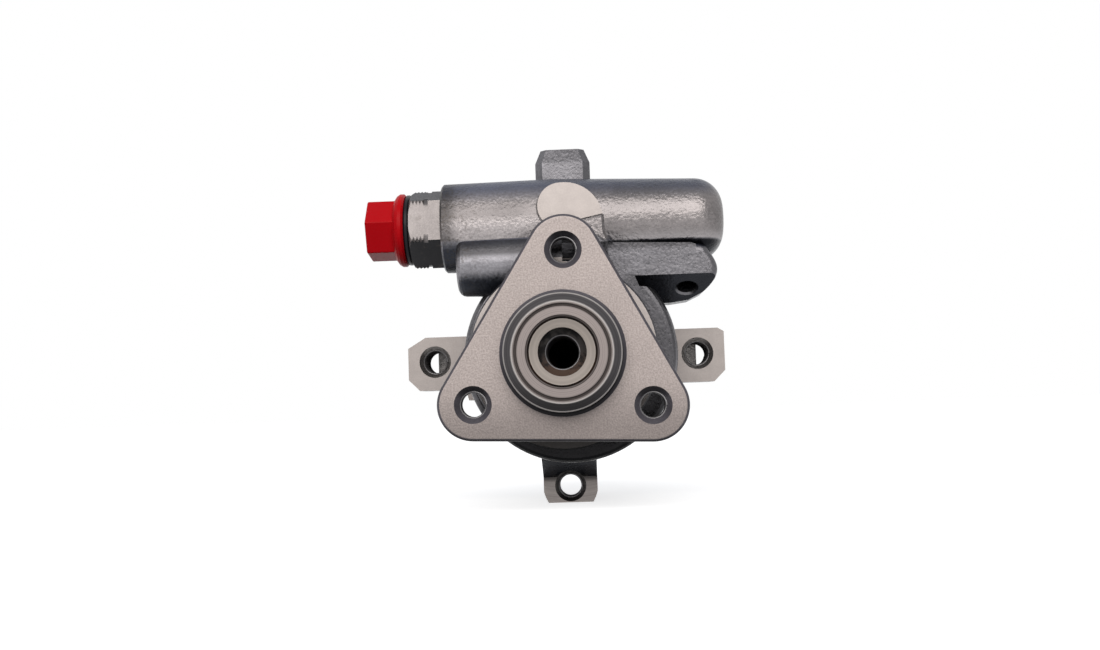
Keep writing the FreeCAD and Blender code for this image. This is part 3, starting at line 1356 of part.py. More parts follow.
def coil_section(x, angle, radius, wire_radius):
    """A hexagon round a coil's centre line, in the plane through the barrel axis."""
    points = []
    for i in range(6):
        turn = math.radians(60.0 * i)
        reach = radius + wire_radius * math.sin(turn)
        points.append(FreeCAD.Vector(
            x + wire_radius * math.cos(turn),
            BARREL_Y + reach * math.cos(angle),
            BARREL_Z + reach * math.sin(angle),
        ))
    return Part.makePolygon(points + [points[0]])


def coil(left, right, radius, wire_radius, turns):
    """A coil spring on the barrel axis, between two faces."""
    steps = turns * COIL_SIDES
    rise = (right - left - 2 * wire_radius) / steps
    turn = 2 * math.pi / COIL_SIDES
    sections = [coil_section(left + wire_radius + i * rise, i * turn, radius, wire_radius)
                for i in range(steps + 1)]
    return Part.makeLoft(sections, True, True)


def make_relief_spring():
    left = SPOOL_END_X - SPOOL_BORE_DEPTH
    right = relief_guide_x() - 1.5
    radius = RELIEF_GUIDE_RADIUS - RELIEF_WIRE_RADIUS
    return coil(left, right, radius, RELIEF_WIRE_RADIUS, RELIEF_COILS)


def make_spool_spring():
    return coil(SPOOL_END_X, VALVE_BORE_END_X, SPOOL_SPRING_RADIUS, SPOOL_SPRING_WIRE_RADIUS,
                SPOOL_SPRING_COILS)


def all_nodes():
    nodes = {
        "pulley_flange": make_pulley_flange(),
        "shaft": make_shaft(),
        "housing": make_housing(),
        "bearing_retaining_ring": make_bearing_retaining_ring(),
        "bearing_outer_ring": make_bearing_outer_ring(),
        "bearing_inner_ring": make_bearing_inner_ring(),
        "bearing_balls": make_bearing_balls(),
        "bearing_cage": make_bearing_cage(),
        "shaft_seal": make_shaft_seal(),
        "shaft_bush": make_shaft_bush(),
        "thrust_plate": make_thrust_plate(),
        "cam_ring": make_cam_ring(),
        "rotor": make_rotor(),
        "rotor_retaining_ring": make_rotor_retaining_ring(),
        "pressure_plate": make_pressure_plate(),
        "pressure_plate_seal": make_o_ring(plate_seal_y()),
        "pressure_plate_spring": make_pressure_plate_spring(),
        "dowel_pins": make_dowel_pins(),
        "end_cover": make_end_cover(),
        "end_cover_seal": make_o_ring(cover_seal_y()),
        "end_cover_retaining_ring": make_end_cover_retaining_ring(),
        "outlet_fitting": make_outlet_fitting(),
        "fitting_seal": make_fitting_seal(),
        "port_cap": make_port_cap(),
        "port_cap_seal": make_port_cap_seal(),
        "passage_plug": make_passage_plug(),
        "valve_spool": make_valve_spool(),
        "relief_plug": make_relief_plug(),
        "relief_ball": make_relief_ball(),
        "relief_guide": make_relief_guide(),
        "relief_spring": make_relief_spring(),
        "spool_spring": make_spool_spring(),
    }
    for i, angle in enumerate(vane_angles()):
        nodes["vane_%02d" % (i + 1)] = make_vane(angle)
    return nodes


def main():
    os.makedirs("parts", exist_ok=True)
    for name, shape in all_nodes().items():
        shape.exportStep("parts/%s.step" % name)


main()
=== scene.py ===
import json
import math

import bmesh
import bpy
from bpy.props import FloatProperty, FloatVectorProperty, IntProperty, PointerProperty
from mathutils import Matrix, Vector


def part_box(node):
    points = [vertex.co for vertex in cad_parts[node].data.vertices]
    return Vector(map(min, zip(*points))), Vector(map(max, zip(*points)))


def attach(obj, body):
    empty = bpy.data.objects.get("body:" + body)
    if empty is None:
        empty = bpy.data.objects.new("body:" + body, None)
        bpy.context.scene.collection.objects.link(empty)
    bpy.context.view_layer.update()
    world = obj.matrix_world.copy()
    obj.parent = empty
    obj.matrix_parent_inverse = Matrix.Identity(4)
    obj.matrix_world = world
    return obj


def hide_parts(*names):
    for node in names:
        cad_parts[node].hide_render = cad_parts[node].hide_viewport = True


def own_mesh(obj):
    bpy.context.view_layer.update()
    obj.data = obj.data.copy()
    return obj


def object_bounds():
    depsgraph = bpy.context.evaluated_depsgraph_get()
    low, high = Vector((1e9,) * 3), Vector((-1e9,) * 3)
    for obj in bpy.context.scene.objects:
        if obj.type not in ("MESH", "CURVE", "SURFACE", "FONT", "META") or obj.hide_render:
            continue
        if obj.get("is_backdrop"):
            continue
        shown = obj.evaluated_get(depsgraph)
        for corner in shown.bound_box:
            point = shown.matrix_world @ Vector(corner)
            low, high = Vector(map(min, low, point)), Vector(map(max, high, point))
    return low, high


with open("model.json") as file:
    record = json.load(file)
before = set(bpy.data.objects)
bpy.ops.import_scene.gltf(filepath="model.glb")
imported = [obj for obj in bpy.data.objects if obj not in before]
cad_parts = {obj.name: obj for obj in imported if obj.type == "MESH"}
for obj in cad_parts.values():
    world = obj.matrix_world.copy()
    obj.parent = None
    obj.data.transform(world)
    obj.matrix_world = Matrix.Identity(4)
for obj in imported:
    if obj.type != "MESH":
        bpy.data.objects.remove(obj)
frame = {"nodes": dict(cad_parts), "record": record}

bl_info = {
    "name": "Power Steering Pump Finisher",
    "version": (1, 0, 0),
    "blender": (4, 5, 0),
    "location": "3D View > Sidebar > Pump",
    "description": "Gives the packed steering pump its threads, metal finishes and studio",
    "category": "Object",
}

NODES = frame["nodes"]
MOUNTS = {mount["name"]: mount for mount in frame["record"]["mounts"]}
MM = 0.001


def mount_place(name):
    """The place of a mount in metres."""
    return Vector(MOUNTS[name]["pos_m"])


def mount_size(name, key):
    """A size of a mount in metres; the record holds millimetres."""
    return MOUNTS[name]["dims"][key] * MM


# Kinds of settings

def colour(name, about, value):
    return FloatVectorProperty(name=name, description=about, subtype="COLOR", size=3, min=0.0, max=1.0,
                               default=value)


def point(name, about, value):
    return FloatVectorProperty(name=name, description=about, subtype="TRANSLATION", size=3, default=value)


def length(name, about, value):
    return FloatProperty(name=name, description=about, unit="LENGTH", precision=5, default=value)


def share(name, about, value):
    return FloatProperty(name=name, description=about, subtype="FACTOR", min=0.0, max=1.0, default=value)


def degrees(name, about, value):
    return FloatProperty(name=name, description=about, subtype="ANGLE", default=math.radians(value))


def number(name, about, value):
    return FloatProperty(name=name, description=about, default=value)


def count(name, about, least, value):
    return IntProperty(name=name, description=about, min=least, default=value)


# Settings

class CastingSettings(bpy.types.PropertyGroup):
    """Finish of the grey iron housing."""
    # Painted light and shade: the front skin is the lit tint of faces that look forward, the upper skin a
    # painted shaded tint of faces that look up, and the lower skin painted shade on faces that look down, not
    # soot.
    skin: colour("Skin", "Cast skin on faces that look forward", (0.171, 0.158, 0.158))
    skin_above_shade: colour("Upper skin", "Cast skin on faces that look up", (0.060, 0.066, 0.094))
    skin_below_shade: colour("Lower skin", "Sooty cast skin on faces that look down", (0.026, 0.027, 0.032))
    # Painted light: the barrel's underside gets a bright tint, brighter still over the lug, as if lit from
    # below.
    barrel_underside_light: colour("Barrel underside", "Skin under the barrel, lit from below", (0.185, 0.175, 0.178))
    under_gain: number("Underside gain", "Brightness of the barrel's underside over the lug", 1.9)
    lug_from: length("Lug from", "Place along the barrel where the lug begins below it", 0.011)
    lug_blend: length("Lug blend", "Length along which the lug takes over", 0.003)
    lug_top: length("Lug top", "Height at which the barrel gives way to the lug", 0.0347)
    # Painted shade in the crease where the lug meets the barrel.
    fillet_shade: share("Fillet shade", "Brightness of the lug's skin right under the barrel", 0.50)
    fillet_top: length("Fillet top", "Height of the lug's upper edge", 0.0333)
    fillet_width: length("Fillet width", "Width of that shade", 0.0022)
    barrel_bottom: length("Barrel bottom", "Height of the barrel's border with the lower castings", 0.0362)
    # Painted shade: the skin below the barrel is painted darker than the barrel's.
    low_shade: share("Lower castings", "Brightness of the skin below the barrel, against the barrel's", 0.765)
    inlet_shade: share("Inlet shade", "Brightness of the inlet block's skin against that of the barrel", 0.76)
    inlet_bottom: length("Inlet bottom", "Height at which the inlet block rises out of the barrel", 0.0562)
    pit_colour: colour("Pit colour", "Brown pits at the left end of the barrel", (0.045, 0.038, 0.031))
    pit_size: length("Pit size", "Width of a cluster of pits", 0.0009)
    pit_left: length("Pits from", "Place along the barrel where the pits are densest", -0.035)
    pit_right: length("Pits to", "Place along the barrel where the pits end", -0.019)
    low_grain: share("Lower grain", "Height of the grain below the barrel against that of the barrel", 0.6)
    machined: colour("Machined face", "Milled pad, ears and boss", (0.41, 0.37, 0.352))
    skin_roughness: share("Skin roughness", "Roughness of the cast skin", 0.30)
    grain_size: length("Grain size", "Width of a grain of the cast skin", 0.0008)
    grain_depth: length("Grain depth", "Height of the cast grain", 0.00020)
    skin_contrast: share("Skin contrast", "Difference between pale and dark grains", 0.8)
    # Painted highlight: these settings paint extra brightness on the front at the left, and shade above it on
    # the block, in place of light; the front itself is not paler.
    sheen_left: length("Sheen from", "Place along the barrel left of which its front is paler", -0.012)
    sheen_right: length("Sheen to", "Place along the barrel where the paler front ends", 0.004)
    sheen_gain: share("Sheen gain", "Extra brightness of the paler front", 0.66)
    sheen_loss: number("Sheen loss", "Change of brightness above the paler front of the block", -0.52)
    sheen_bottom: length("Sheen bottom", "Height at which the paler front begins", 0.016)
    sheen_full: length("Sheen full", "Height from which the front is palest", 0.020)
    # Painted shade on the step round the pad and on the line round its left.
    flank_shade: share("Flank shade", "Brightness of the step round the milled pad", 0.4)
    end_shade: share("End shade", "Brightness of the barrel's skin at its left end", 0.42)
    end_from: length("Shaded end", "Place of the barrel's left end", -0.0352)
    end_to: length("End of shade", "Place along the barrel where that shade ends", -0.0305)
    # Left of this place the barrel's underside gets no painted light and keeps the dark tint of faces that
    # look down.
    dark_underside_end: length("Oily end", "Place left of which the barrel's underside is black with oil", -0.0315)
    face_reach: length("Face reach", "How far from a milled face's depth a point counts as on it", 0.0001)
    boss_face_y: length("Boss face", "Depth of the milled boss and pad behind the flange face", 0.012)
    milled_grain: length("Milled grain", "Width of a grain of the milled faces", 0.0005)
    milling_pitch: length("Milling pitch", "Distance between the cutter's arcs on the ears", 0.0004)
    hole_wall: colour("Hole wall", "Cut walls of the tapped ear holes", (0.17, 0.16, 0.155))
    ear_hole_from: length("Ear holes from", "Distance from the middle at which the ear holes begin", 0.0365)
    ear_hole_reach: length("Ear hole reach", "How far an ear hole reaches from its middle", 0.0058)
    low_hole_z: length("Lower hole", "Height of the hole in the lower ear", -0.0421)
    ear_shade: share("Ear shade", "Brightness of the milled ears against that of the pad", 0.84)
    # Painted shadow on the upper part of the lower ear's face.
    low_ear_light: length("Lower ear light", "Height up to which the lower ear's face is light", -0.0414)
    low_ear_dark: length("Lower ear dark", "Height from which the lower ear's face is dark", -0.0394)
    # Painted shadow: the body's front under the flange is painted dark, darkest low down, in place of the
    # flange's shadow, not grime.
    under_flange_shade: share("Grime shade", "Brightness of the oily front under the flange", 0.10)
    under_flange_top: length("Grime top", "Height at which the oily front begins", -0.004)
    under_flange_bottom: length("Grime bottom", "Height at which the oil is thickest", -0.024)
    boss_radius: length("Boss radius", "Radius within which the boss is milled", 0.0305)
    # Painted shade on the right side of the body's front beside the flange, not oil.
    side_shade: share("Side shade", "Brightness of the oily right side of the body's front", 0.66)
    side_from: length("Side from", "Place at which that shade begins", 0.015)
    side_blend: length("Side blend", "Width over which that shade grows", 0.007)
    side_top: length("Side top", "Height at which that shade ends", 0.024)
    body_radius: length("Body radius", "Radius of the round body's front", 0.0345)
    crevice_reach: length("Crevice reach", "Half the gap between block and column over the boss", 0.006)
    crevice_depth: length("Crevice depth", "Depth of that gap behind the boss's face", 0.0032)
    crevice_foot: length("Crevice foot", "Height up to which the feet of block and column are milled", 0.0296)
    foot_height: length("Foot height", "Height of those milled feet", 0.006)
    # Painted shade in the gap between block and column over the boss, not oil.
    crevice_top: length("Crevice top", "Height at which the oily gap ends", 0.0352)
    crevice_shade: share("Crevice shade", "Brightness of the oily gap", 0.45)
    pad_bottom: length("Pad bottom", "Height above which the pad is milled", 0.038)
    pad_x: length("Pad middle", "Place of the round pad's middle along the barrel", 0.0005)
    pad_z: length("Pad height", "Height of the round pad's middle", 0.0455)
    pad_radius: length("Pad radius", "Radius of the milled pad", 0.0071)
    # Painted shadow line round the left of the raised pad.
    pad_shadow_line: length("Pad groove", "Width of the dark line round the left of the pad", 0.0005)
    pad_depth: length("Pad depth", "Depth to which that line reaches behind the pad's face", 0.006)
    # Painted light: a cool tint on the skin away from the barrel stands in for bluish fill light.
    cool_tint: colour("Cool tint", "Tint of the skin away from the barrel", (0.88, 0.93, 1.0))
    ear_face_y: length("Side ear face", "Depth of the milled faces of the two side ears", 0.040)
    low_ear_face_y: length("Lower ear face", "Depth of the milled face of the lower ear", 0.0485)


class FlangeSettings(bpy.types.PropertyGroup):
    """Finish of the pulley flange and the shaft end."""
    face: colour("Face", "Fine-blasted face of the flange", (0.36, 0.315, 0.30))
    # Painted shade: the rims and flanks are painted darker than the face, and darker still where they look
    # down.
    rim: colour("Rim", "Bevelled rims and flanks of the flange", (0.085, 0.080, 0.092))
    # Painted shade: the face is painted darker towards its bottom, below the hub, not an oil film.
    lower_face_shade: share("Oil shade", "Brightness of the oily edge between the two lower holes", 0.66)
    lower_face_top: length("Oil top", "Height at which the oil film begins", -0.006)
    lower_face_bottom: length("Oil bottom", "Height at which the oil film is thickest", -0.024)
    turned: colour("Turned", "Turned rings of the hub", (0.25, 0.218, 0.209))
    # Painted shade on the lower part of the hub's sloping rim and round the hub's foot, not oil.
    hub_shade: share("Hub shade", "Brightness of the oily foot of the hub's sloping rim", 0.32)
    # Painted shade: the sloping rim is painted darker than the turned face.
    hub_slope: colour("Hub slope", "Sloping rim of the hub", (0.070, 0.066, 0.070))
    # Painted shade in the hub's groove and in the gap round the shaft, not oil.
    groove_shade: colour("Hub groove", "Oil in the hub's groove and round the shaft", (0.045, 0.038, 0.036))
    # Painted highlights: bright lines on the edges of the turned rings and the hub's rim, not burnished
    # metal.
    edge_highlight: colour("Bright edge", "Burnished edges of the turned rings", (0.42, 0.40, 0.39))
    shaft_end: colour("Shaft end", "Turned end of the shaft", (0.25, 0.222, 0.200))
    # The bore's near-black is partly painted shade inside the hole.
    bore: colour("Bore", "Oily wall of the centre bore", (0.016, 0.013, 0.012))
    rust: colour("Rust", "Light rust in the centre bore", (0.050, 0.024, 0.013))
    grain_size: length("Grain size", "Width of a grain of the blasted face", 0.0005)
    turning_pitch: length("Turning pitch", "Distance between two turning marks", 0.00022)
    cloud_size: length("Cloud size", "Width of the pale and dark patches of the face", 0.0012)
    hub_radius: length("Hub radius", "Radius of the turned hub", 0.0174)
    hub_front: length("Hub front", "Depth in front of which the hub is turned", -0.0052)
    hub_chamfer: length("Hub chamfer", "Width of the hub's sloping rim", 0.0025)
    groove_radius: length("Groove radius", "Outer radius of the groove in the hub's face", 0.0141)
    groove_width: length("Groove width", "Width of that groove", 0.0009)
    bore_radius: length("Bore radius", "Radius of the hub's bore", 0.010)
    ring_line: length("Ring line", "Width of a fine turned line", 0.00012)
    highlight_half_width: length("Worn line", "Half the width of the burnished line on the hub's rim", 0.0002)
    # Painted shadow of the hub on the flange round its foot.
    foot_width: length("Foot width", "Width of the dark ring round the hub's foot", 0.0012)
    hub_shadow_width: length("Oil width", "Width of the oily shade under the hub", 0.0022)
    shaft_front: length("Shaft front", "Depth in front of which the shaft's end is turned", -0.007)
    end_bottom: length("End bottom", "Height at which the shaft's end is brightest", -0.008)
    end_top: length("End top", "Height at which the shaft's end is darkest", 0.009)
    bore_light: length("Bore light", "Height at which the centre bore's wall is brightest", -0.006)
    bore_dark: length("Bore dark", "Height at which the centre bore's wall is darkest", 0.001)


class FittingSettings(bpy.types.PropertyGroup):
    """Sizes and finish of the outlet fitting."""
    # Painted light and shade: the front flats take the lit tint, flats that look up a darker one, and flats
    # and threads that look down the darkest; not dullness or oil.
    metal: colour("Metal", "Bare flats of the hexagon", (0.190, 0.174, 0.171))
    upper: colour("Upper flats", "Duller flats that look up", (0.023, 0.024, 0.031))
    lower: colour("Lower flats", "Oily flats and threads that look down", (0.022, 0.022, 0.024))
    stain: colour("Stain", "Brown stains on the flats", (0.10, 0.085, 0.07))
    outer_radius: length("Outer radius", "Radius over the thread", 0.01277)
    across_flats: length("Across flats", "Width of the hexagon", 0.022)
    flat_turn: degrees("Flat turn", "Turn of the front flat about the barrel", -7.6)
    thread_pitch: length("Thread pitch", "Distance between two crests", 0.00108)
    thread_depth: length("Thread depth", "Height of the thread", 0.00062)
    flange_width: length("Flange width", "Round flange against the barrel", 0.0012)
    collar_width: length("Collar width", "Hexagon between the flange and the neck", 0.0027)
    neck_width: length("Neck width", "Groove at the end of the thread", 0.0014)
    neck_depth: length("Neck depth", "Depth of that groove", 0.0008)
    end_bevel: length("End bevel", "Length of the slope at the open end", 0.0009)
    shank_radius: length("Shank radius", "Radius of the part inside the barrel", 0.0104)
    shank_length: length("Shank length", "Length of the part inside the barrel", 0.012)
    seal_offset: length("Seal offset", "Place of the seal groove inside the barrel", 0.0024)
    seal_radius: length("Seal wire", "Half the width of the seal groove", 0.0012)
    nose_length: length("Nose length", "Length of the inner nose", 0.003)
    nose_radius: length("Nose radius", "Radius of the inner nose", 0.0074)
    port_radius: length("Port radius", "Radius of the open port", 0.0072)
    port_depth: length("Port depth", "Depth of the open port", 0.012)
    orifice_radius: length("Orifice radius", "Radius of the inner passage", 0.0026)
    sides: count("Sides", "Points round the fitting", 48, 144)
    thread_steps: count("Thread steps", "Rings for each turn of the thread", 6, 12)


class PlugSettings(bpy.types.PropertyGroup):
    """Finish of the transit plug and its ring."""
    plastic: colour("Plastic", "Moulded red plastic", (0.46, 0.0014, 0.0045))
    plastic_worn: colour("Worn plastic", "Paler plastic where it has been handled", (0.50, 0.005, 0.012))
    rubber: colour("Rubber", "Black rubber of the ring", (0.006, 0.006, 0.008))


class ThreadSettings(bpy.types.PropertyGroup):
    """Thread ridges in the tapped holes."""
    bolt_pitch: length("Bolt pitch", "Thread pitch of the flange and ear holes", 0.0015)
    centre_pitch: length("Centre pitch", "Thread pitch of the hole in the shaft", 0.00175)
    ridge: length("Ridge", "Height of a ridge over the wall of its hole", 0.00042)
    flange_thickness: length("Flange thickness", "Thickness of the pulley flange", 0.008)
    flange_chamfer: length("Flange chamfer", "Width of the countersinks in the flange", 0.0016)
    centre_front: length("Centre thread front", "Depth at which the thread in the shaft begins", -0.0038)
    centre_run: length("Centre thread length", "Length of the thread in the shaft", 0.022)
    metal: colour("Metal", "Cut metal of the thread ridges", (0.19, 0.185, 0.19))
    resolution: count("Resolution", "Points for each turn", 12, 40)


class InnerSettings(bpy.types.PropertyGroup):
    """Finishes of the pieces inside the pump."""
    steel: colour("Steel", "Ground and hardened steel", (0.50, 0.50, 0.51))
    spring: colour("Spring", "Oil-hardened spring steel", (0.12, 0.115, 0.12))
    iron: colour("Iron", "Ground iron plates", (0.36, 0.36, 0.37))
    bronze: colour("Bronze", "Turned bronze", (0.50, 0.31, 0.13))


class SpringSettings(bpy.types.PropertyGroup):
    """The two coil springs of the flow valve."""
    spool_wire: length("Spool spring wire", "Radius of the spool spring's wire", 0.0008)
    spool_turns: count("Spool spring turns", "Turns of the spool spring", 1, 7)
    relief_wire: length("Relief spring wire", "Radius of the relief spring's wire", 0.0005)
    relief_turns: count("Relief spring turns", "Turns of the relief spring", 1, 4)
    turn_steps: count("Steps", "Points along the wire for each turn", 8, 30)
    wire_sides: count("Wire sides", "Points round the wire", 5, 10)


class StageSettings(bpy.types.PropertyGroup):
    """Camera, soft light, room and floor."""
    camera_place: point("Camera place", "Where the camera stands", (0.00804, -0.350, -0.01407))
    camera_yaw: degrees("Camera yaw", "Turn of the camera to the left", 2.0076)
    camera_pitch: degrees("Camera pitch", "Upward tilt of the camera", 3.5889)
    camera_roll: degrees("Camera roll", "Turn of the pump in the picture", 1.9)
    lens: number("Lens", "Focal length on a 36 mm sensor", 39.135)
    aim: point("Lit point", "Point at which the soft light is aimed", (0.0, 0.03, 0.01))
    front_place: point("Front light place", "Where the middle of the soft light stands", (-0.05, -0.84, 0.55))
    front_size: FloatVectorProperty(name="Front light size", description="Width and height of the soft light",
                                    unit="LENGTH", size=2, default=(1.3, 0.74))
    front_power: number("Front light", "Power of the soft light in front, in watts", 11.3)
    front_tint: colour("Front light tint", "Colour of the soft light in front", (1.0, 0.965, 0.93))
    room: colour("Room light", "Even light of the room", (0.16, 0.17, 0.19))
    floor: colour("Floor", "Pale floor", (0.80, 0.80, 0.80))
    floor_reach: length("Floor reach", "Half the width of the floor", 3.0)
    near_glow: length("Near glow", "Distance within which the floor shines least", 0.08)
    far_glow: length("Far glow", "Distance beyond which the floor is white", 0.3)


# Node helpers

def connect(tree, socket, value):
    """Links the output of another node to a socket, or sets the socket's own value."""
    if isinstance(value, bpy.types.NodeSocket):
        tree.links.new(value, socket)
    elif socket.type == "RGBA":
        socket.default_value = (*value[:3], 1.0)
    else:
        socket.default_value = value


def add_node(tree, kind, inputs=None, **settings):
    """Adds a node, sets it up, and feeds its inputs."""
    made = tree.nodes.new(kind)
    for name, value in settings.items():
        setattr(made, name, value)
    for name, value in (inputs or {}).items():
        connect(tree, made.inputs[name], value)
    return made


def feed(tree, shader, **sources):
    """Feeds the inputs of a shader; an underscore stands for a space."""
    for socket, source in sources.items():
        connect(tree, shader.inputs[socket.replace("_", " ")], source)


def calculate(tree, operation, first, second=0.0, third=0.0):
    """The output of a math node."""
    inputs = {0: first, 1: second, 2: third}
    return add_node(tree, "ShaderNodeMath", inputs, operation=operation).outputs[0]


def times(tree, first, *others):
    """The product of two or more values."""
    for other in others:
        first = calculate(tree, "MULTIPLY", first, other)
    return first


def scaled_sum(tree, value, factor, added):
    """The value times a factor, with something added."""
    return calculate(tree, "MULTIPLY_ADD", value, factor, added)


def minus(tree, first, second):
    return calculate(tree, "SUBTRACT", first, second)


def over(tree, value, level):
    """One where the value is above a level, else zero."""
    return calculate(tree, "GREATER_THAN", value, level)


def under(tree, value, level):
    """One where the value is below a level, else zero."""
    return calculate(tree, "LESS_THAN", value, level)


def near(tree, value, place, reach):
    """One within the reach of a place, else zero."""
    return calculate(tree, "COMPARE", value, place, reach)


def either(tree, first, second):
    """One where the first or the second mask is one."""
    return calculate(tree, "MAXIMUM", first, second)


def outside(tree, mask):
    """One where the mask is zero, and zero where it is one."""
    return minus(tree, 1.0, mask)


def split(tree, vector):
    """The parts of a place or a direction, by axis."""
    return add_node(tree, "ShaderNodeSeparateXYZ", {0: vector}).outputs


def radius_of(tree, first, second):
    """The distance from an axis, given the places along the two others."""
    return calculate(tree, "SQRT", scaled_sum(tree, second, second, times(tree, first, first)))


def ramp_between(tree, value, low, high, start=0.0, end=1.0):
    """Runs smoothly from start to end while the value goes from low to high."""
    inputs = {"Value": value, "From Min": low, "From Max": high, "To Min": start, "To Max": end}
    return add_node(tree, "ShaderNodeMapRange", inputs, interpolation_type="SMOOTHSTEP").outputs["Result"]


def mix_colours(tree, amount, first, second):
    return add_node(tree, "ShaderNodeMix", {0: amount, 6: first, 7: second}, data_type="RGBA").outputs[2]


def mix_values(tree, amount, first, second):
    return add_node(tree, "ShaderNodeMix", {0: amount, 2: first, 3: second}, data_type="FLOAT").outputs[0]


def shaded(tree, mask, shade):
    """A factor that is the shade inside a mask and one outside it."""
    return mix_values(tree, mask, 1.0, shade)


def scale_colour(tree, tint, factor):
    return add_node(tree, "ShaderNodeVectorMath", {0: tint, "Scale": factor}, operation="SCALE").outputs[0]


def tinted(base, factor):
    """A fixed colour made darker or lighter."""
    return tuple(min(1.0, value * factor) for value in base)


def mottled(tree, value, tint, dark, light):
    """A darker and a lighter shade of a tint, mixed by a noise value."""
    return mix_colours(tree, ramp_between(tree, value, 0.3, 0.7), tinted(tint, dark), tinted(tint, light))


def noise(tree, position, scale, detail=2.0, roughness=0.5):
    inputs = {"Vector": position, "Scale": scale, "Detail": detail, "Roughness": roughness}
    return add_node(tree, "ShaderNodeTexNoise", inputs).outputs["Fac"]


def new_group(name, inputs, outputs, kind="ShaderNodeTree"):
    """An empty group with named sockets; returns it with the sockets of its two end nodes."""
    tree = bpy.data.node_groups.new(name, kind)
    for way, sockets in (("INPUT", inputs), ("OUTPUT", outputs)):
        for socket, content in sockets.items():
            tree.interface.new_socket(socket, in_out=way, socket_type="NodeSocket" + content)
    return tree, tree.nodes.new("NodeGroupInput").outputs, tree.nodes.new("NodeGroupOutput").inputs


def use_group(tree, name, **inputs):
    """Places a shared group in a material and returns its outputs."""
    made = add_node(tree, "ShaderNodeGroup", node_tree=bpy.data.node_groups[name])
    feed(tree, made, **inputs)
    return made.outputs


# Shared effects

def make_skin_group():
    """Skin of a casting or a blasted blank, with one tint for each way that a face can look: painted light
    and shade, brightest on faces that look forward, darker on faces that look up, darkest on faces that look
    down.
    """
    tree, given, result = new_group(
        "Cast skin",
        {"Position": "Vector", "Normal": "Vector", "Grain Size": "Float", "Contrast": "Float",
         "Front": "Color", "Above": "Color", "Below": "Color"},
        {"Colour": "Color", "Grain": "Float", "Height": "Float"})
    scale = calculate(tree, "DIVIDE", 1.0, given["Grain Size"])
    fine = noise(tree, given["Position"], scale)
    broad = noise(tree, given["Position"], times(tree, scale, 0.4))
    cloud = noise(tree, given["Position"], times(tree, scale, 0.07))
    ragged = minus(tree, fine, 0.5)
    # Painted light and shade: the tint follows how far a face looks up or down, not the finish.
    tilt = scaled_sum(tree, ragged, 0.12, split(tree, given["Normal"])["Z"])
    body = mix_colours(tree, ramp_between(tree, tilt, 0.35, 0.85), given["Front"], given["Above"])
    body = mix_colours(tree, ramp_between(tree, tilt, -0.62, -0.26, 1.0, 0.0), body, given["Below"])
    shade = scaled_sum(tree, ragged, given["Contrast"], 1.0)
    shade = times(tree, shade, ramp_between(tree, cloud, 0.3, 0.7, 0.9, 1.1))
    connect(tree, result["Colour"], scale_colour(tree, body, shade))
    connect(tree, result["Grain"], fine)
    connect(tree, result["Height"], scaled_sum(tree, broad, 0.8, times(tree, fine, 0.7)))


def make_turning_group():
    """Fine rings that a lathe tool leaves about the shaft axis."""
    tree, given, result = new_group(
        "Turning marks", {"Position": "Vector", "Pitch": "Float"}, {"Radius": "Float", "Rings": "Float"})
    axes = split(tree, given["Position"])
    radius = radius_of(tree, axes["X"], axes["Z"])
    step = calculate(tree, "DIVIDE", radius, given["Pitch"])
    place = add_node(tree, "ShaderNodeCombineXYZ", {"X": step, "Y": times(tree, axes["Y"], 200.0)})
    connect(tree, result["Radius"], radius)
    connect(tree, result["Rings"], noise(tree, place.outputs[0], 1.0, roughness=0.6))


def make_stain_group():
    """Patches of rust, oil or handling marks."""
    tree, given, result = new_group(
        "Stains", {"Position": "Vector", "Size": "Float", "Amount": "Float"}, {"Mask": "Float"})
    patches = noise(tree, given["Position"], calculate(tree, "DIVIDE", 1.0, given["Size"]),
                    detail=4.0, roughness=0.62)
    edge = minus(tree, 0.72, times(tree, given["Amount"], 0.4))
    connect(tree, result["Mask"], ramp_between(tree, patches, edge, calculate(tree, "ADD", edge, 0.12)))


def make_grain_group():
    """Fine ground or moulded grain for small pieces."""
    tree, given, result = new_group(
        "Fine grain", {"Position": "Vector", "Size": "Float"}, {"Value": "Float", "Height": "Float"})
    scale = calculate(tree, "DIVIDE", 1.0, given["Size"])
    fine = noise(tree, given["Position"], scale, roughness=0.55)
    broad = noise(tree, given["Position"], times(tree, scale, 0.12))
    connect(tree, result["Value"], scaled_sum(tree, broad, 0.5, times(tree, fine, 0.5)))
    connect(tree, result["Height"], fine)


# Materials

def new_material(name, **sockets):
    """A material with one Principled shader; returns its tree, shader, object position and normal."""
    made = bpy.data.materials.new(name)
    made.use_nodes = True
    tree = made.node_tree
    shader = tree.nodes["Principled BSDF"]
    feed(tree, shader, **sockets)
    place = tree.nodes.new("ShaderNodeTexCoord").outputs
    return made, tree, shader, place["Object"], place["Normal"]


def add_bump(tree, shader, height, distance):
    bump = add_node(tree, "ShaderNodeBump", {"Height": height, "Distance": distance, "Strength": 1.0})
    connect(tree, shader.inputs["Normal"], bump.outputs["Normal"])


def facing_front(tree, normal, level):
    """One where a face looks along the shaft, to the front or the back."""
    return over(tree, calculate(tree, "ABSOLUTE", split(tree, normal)["Y"]), level)


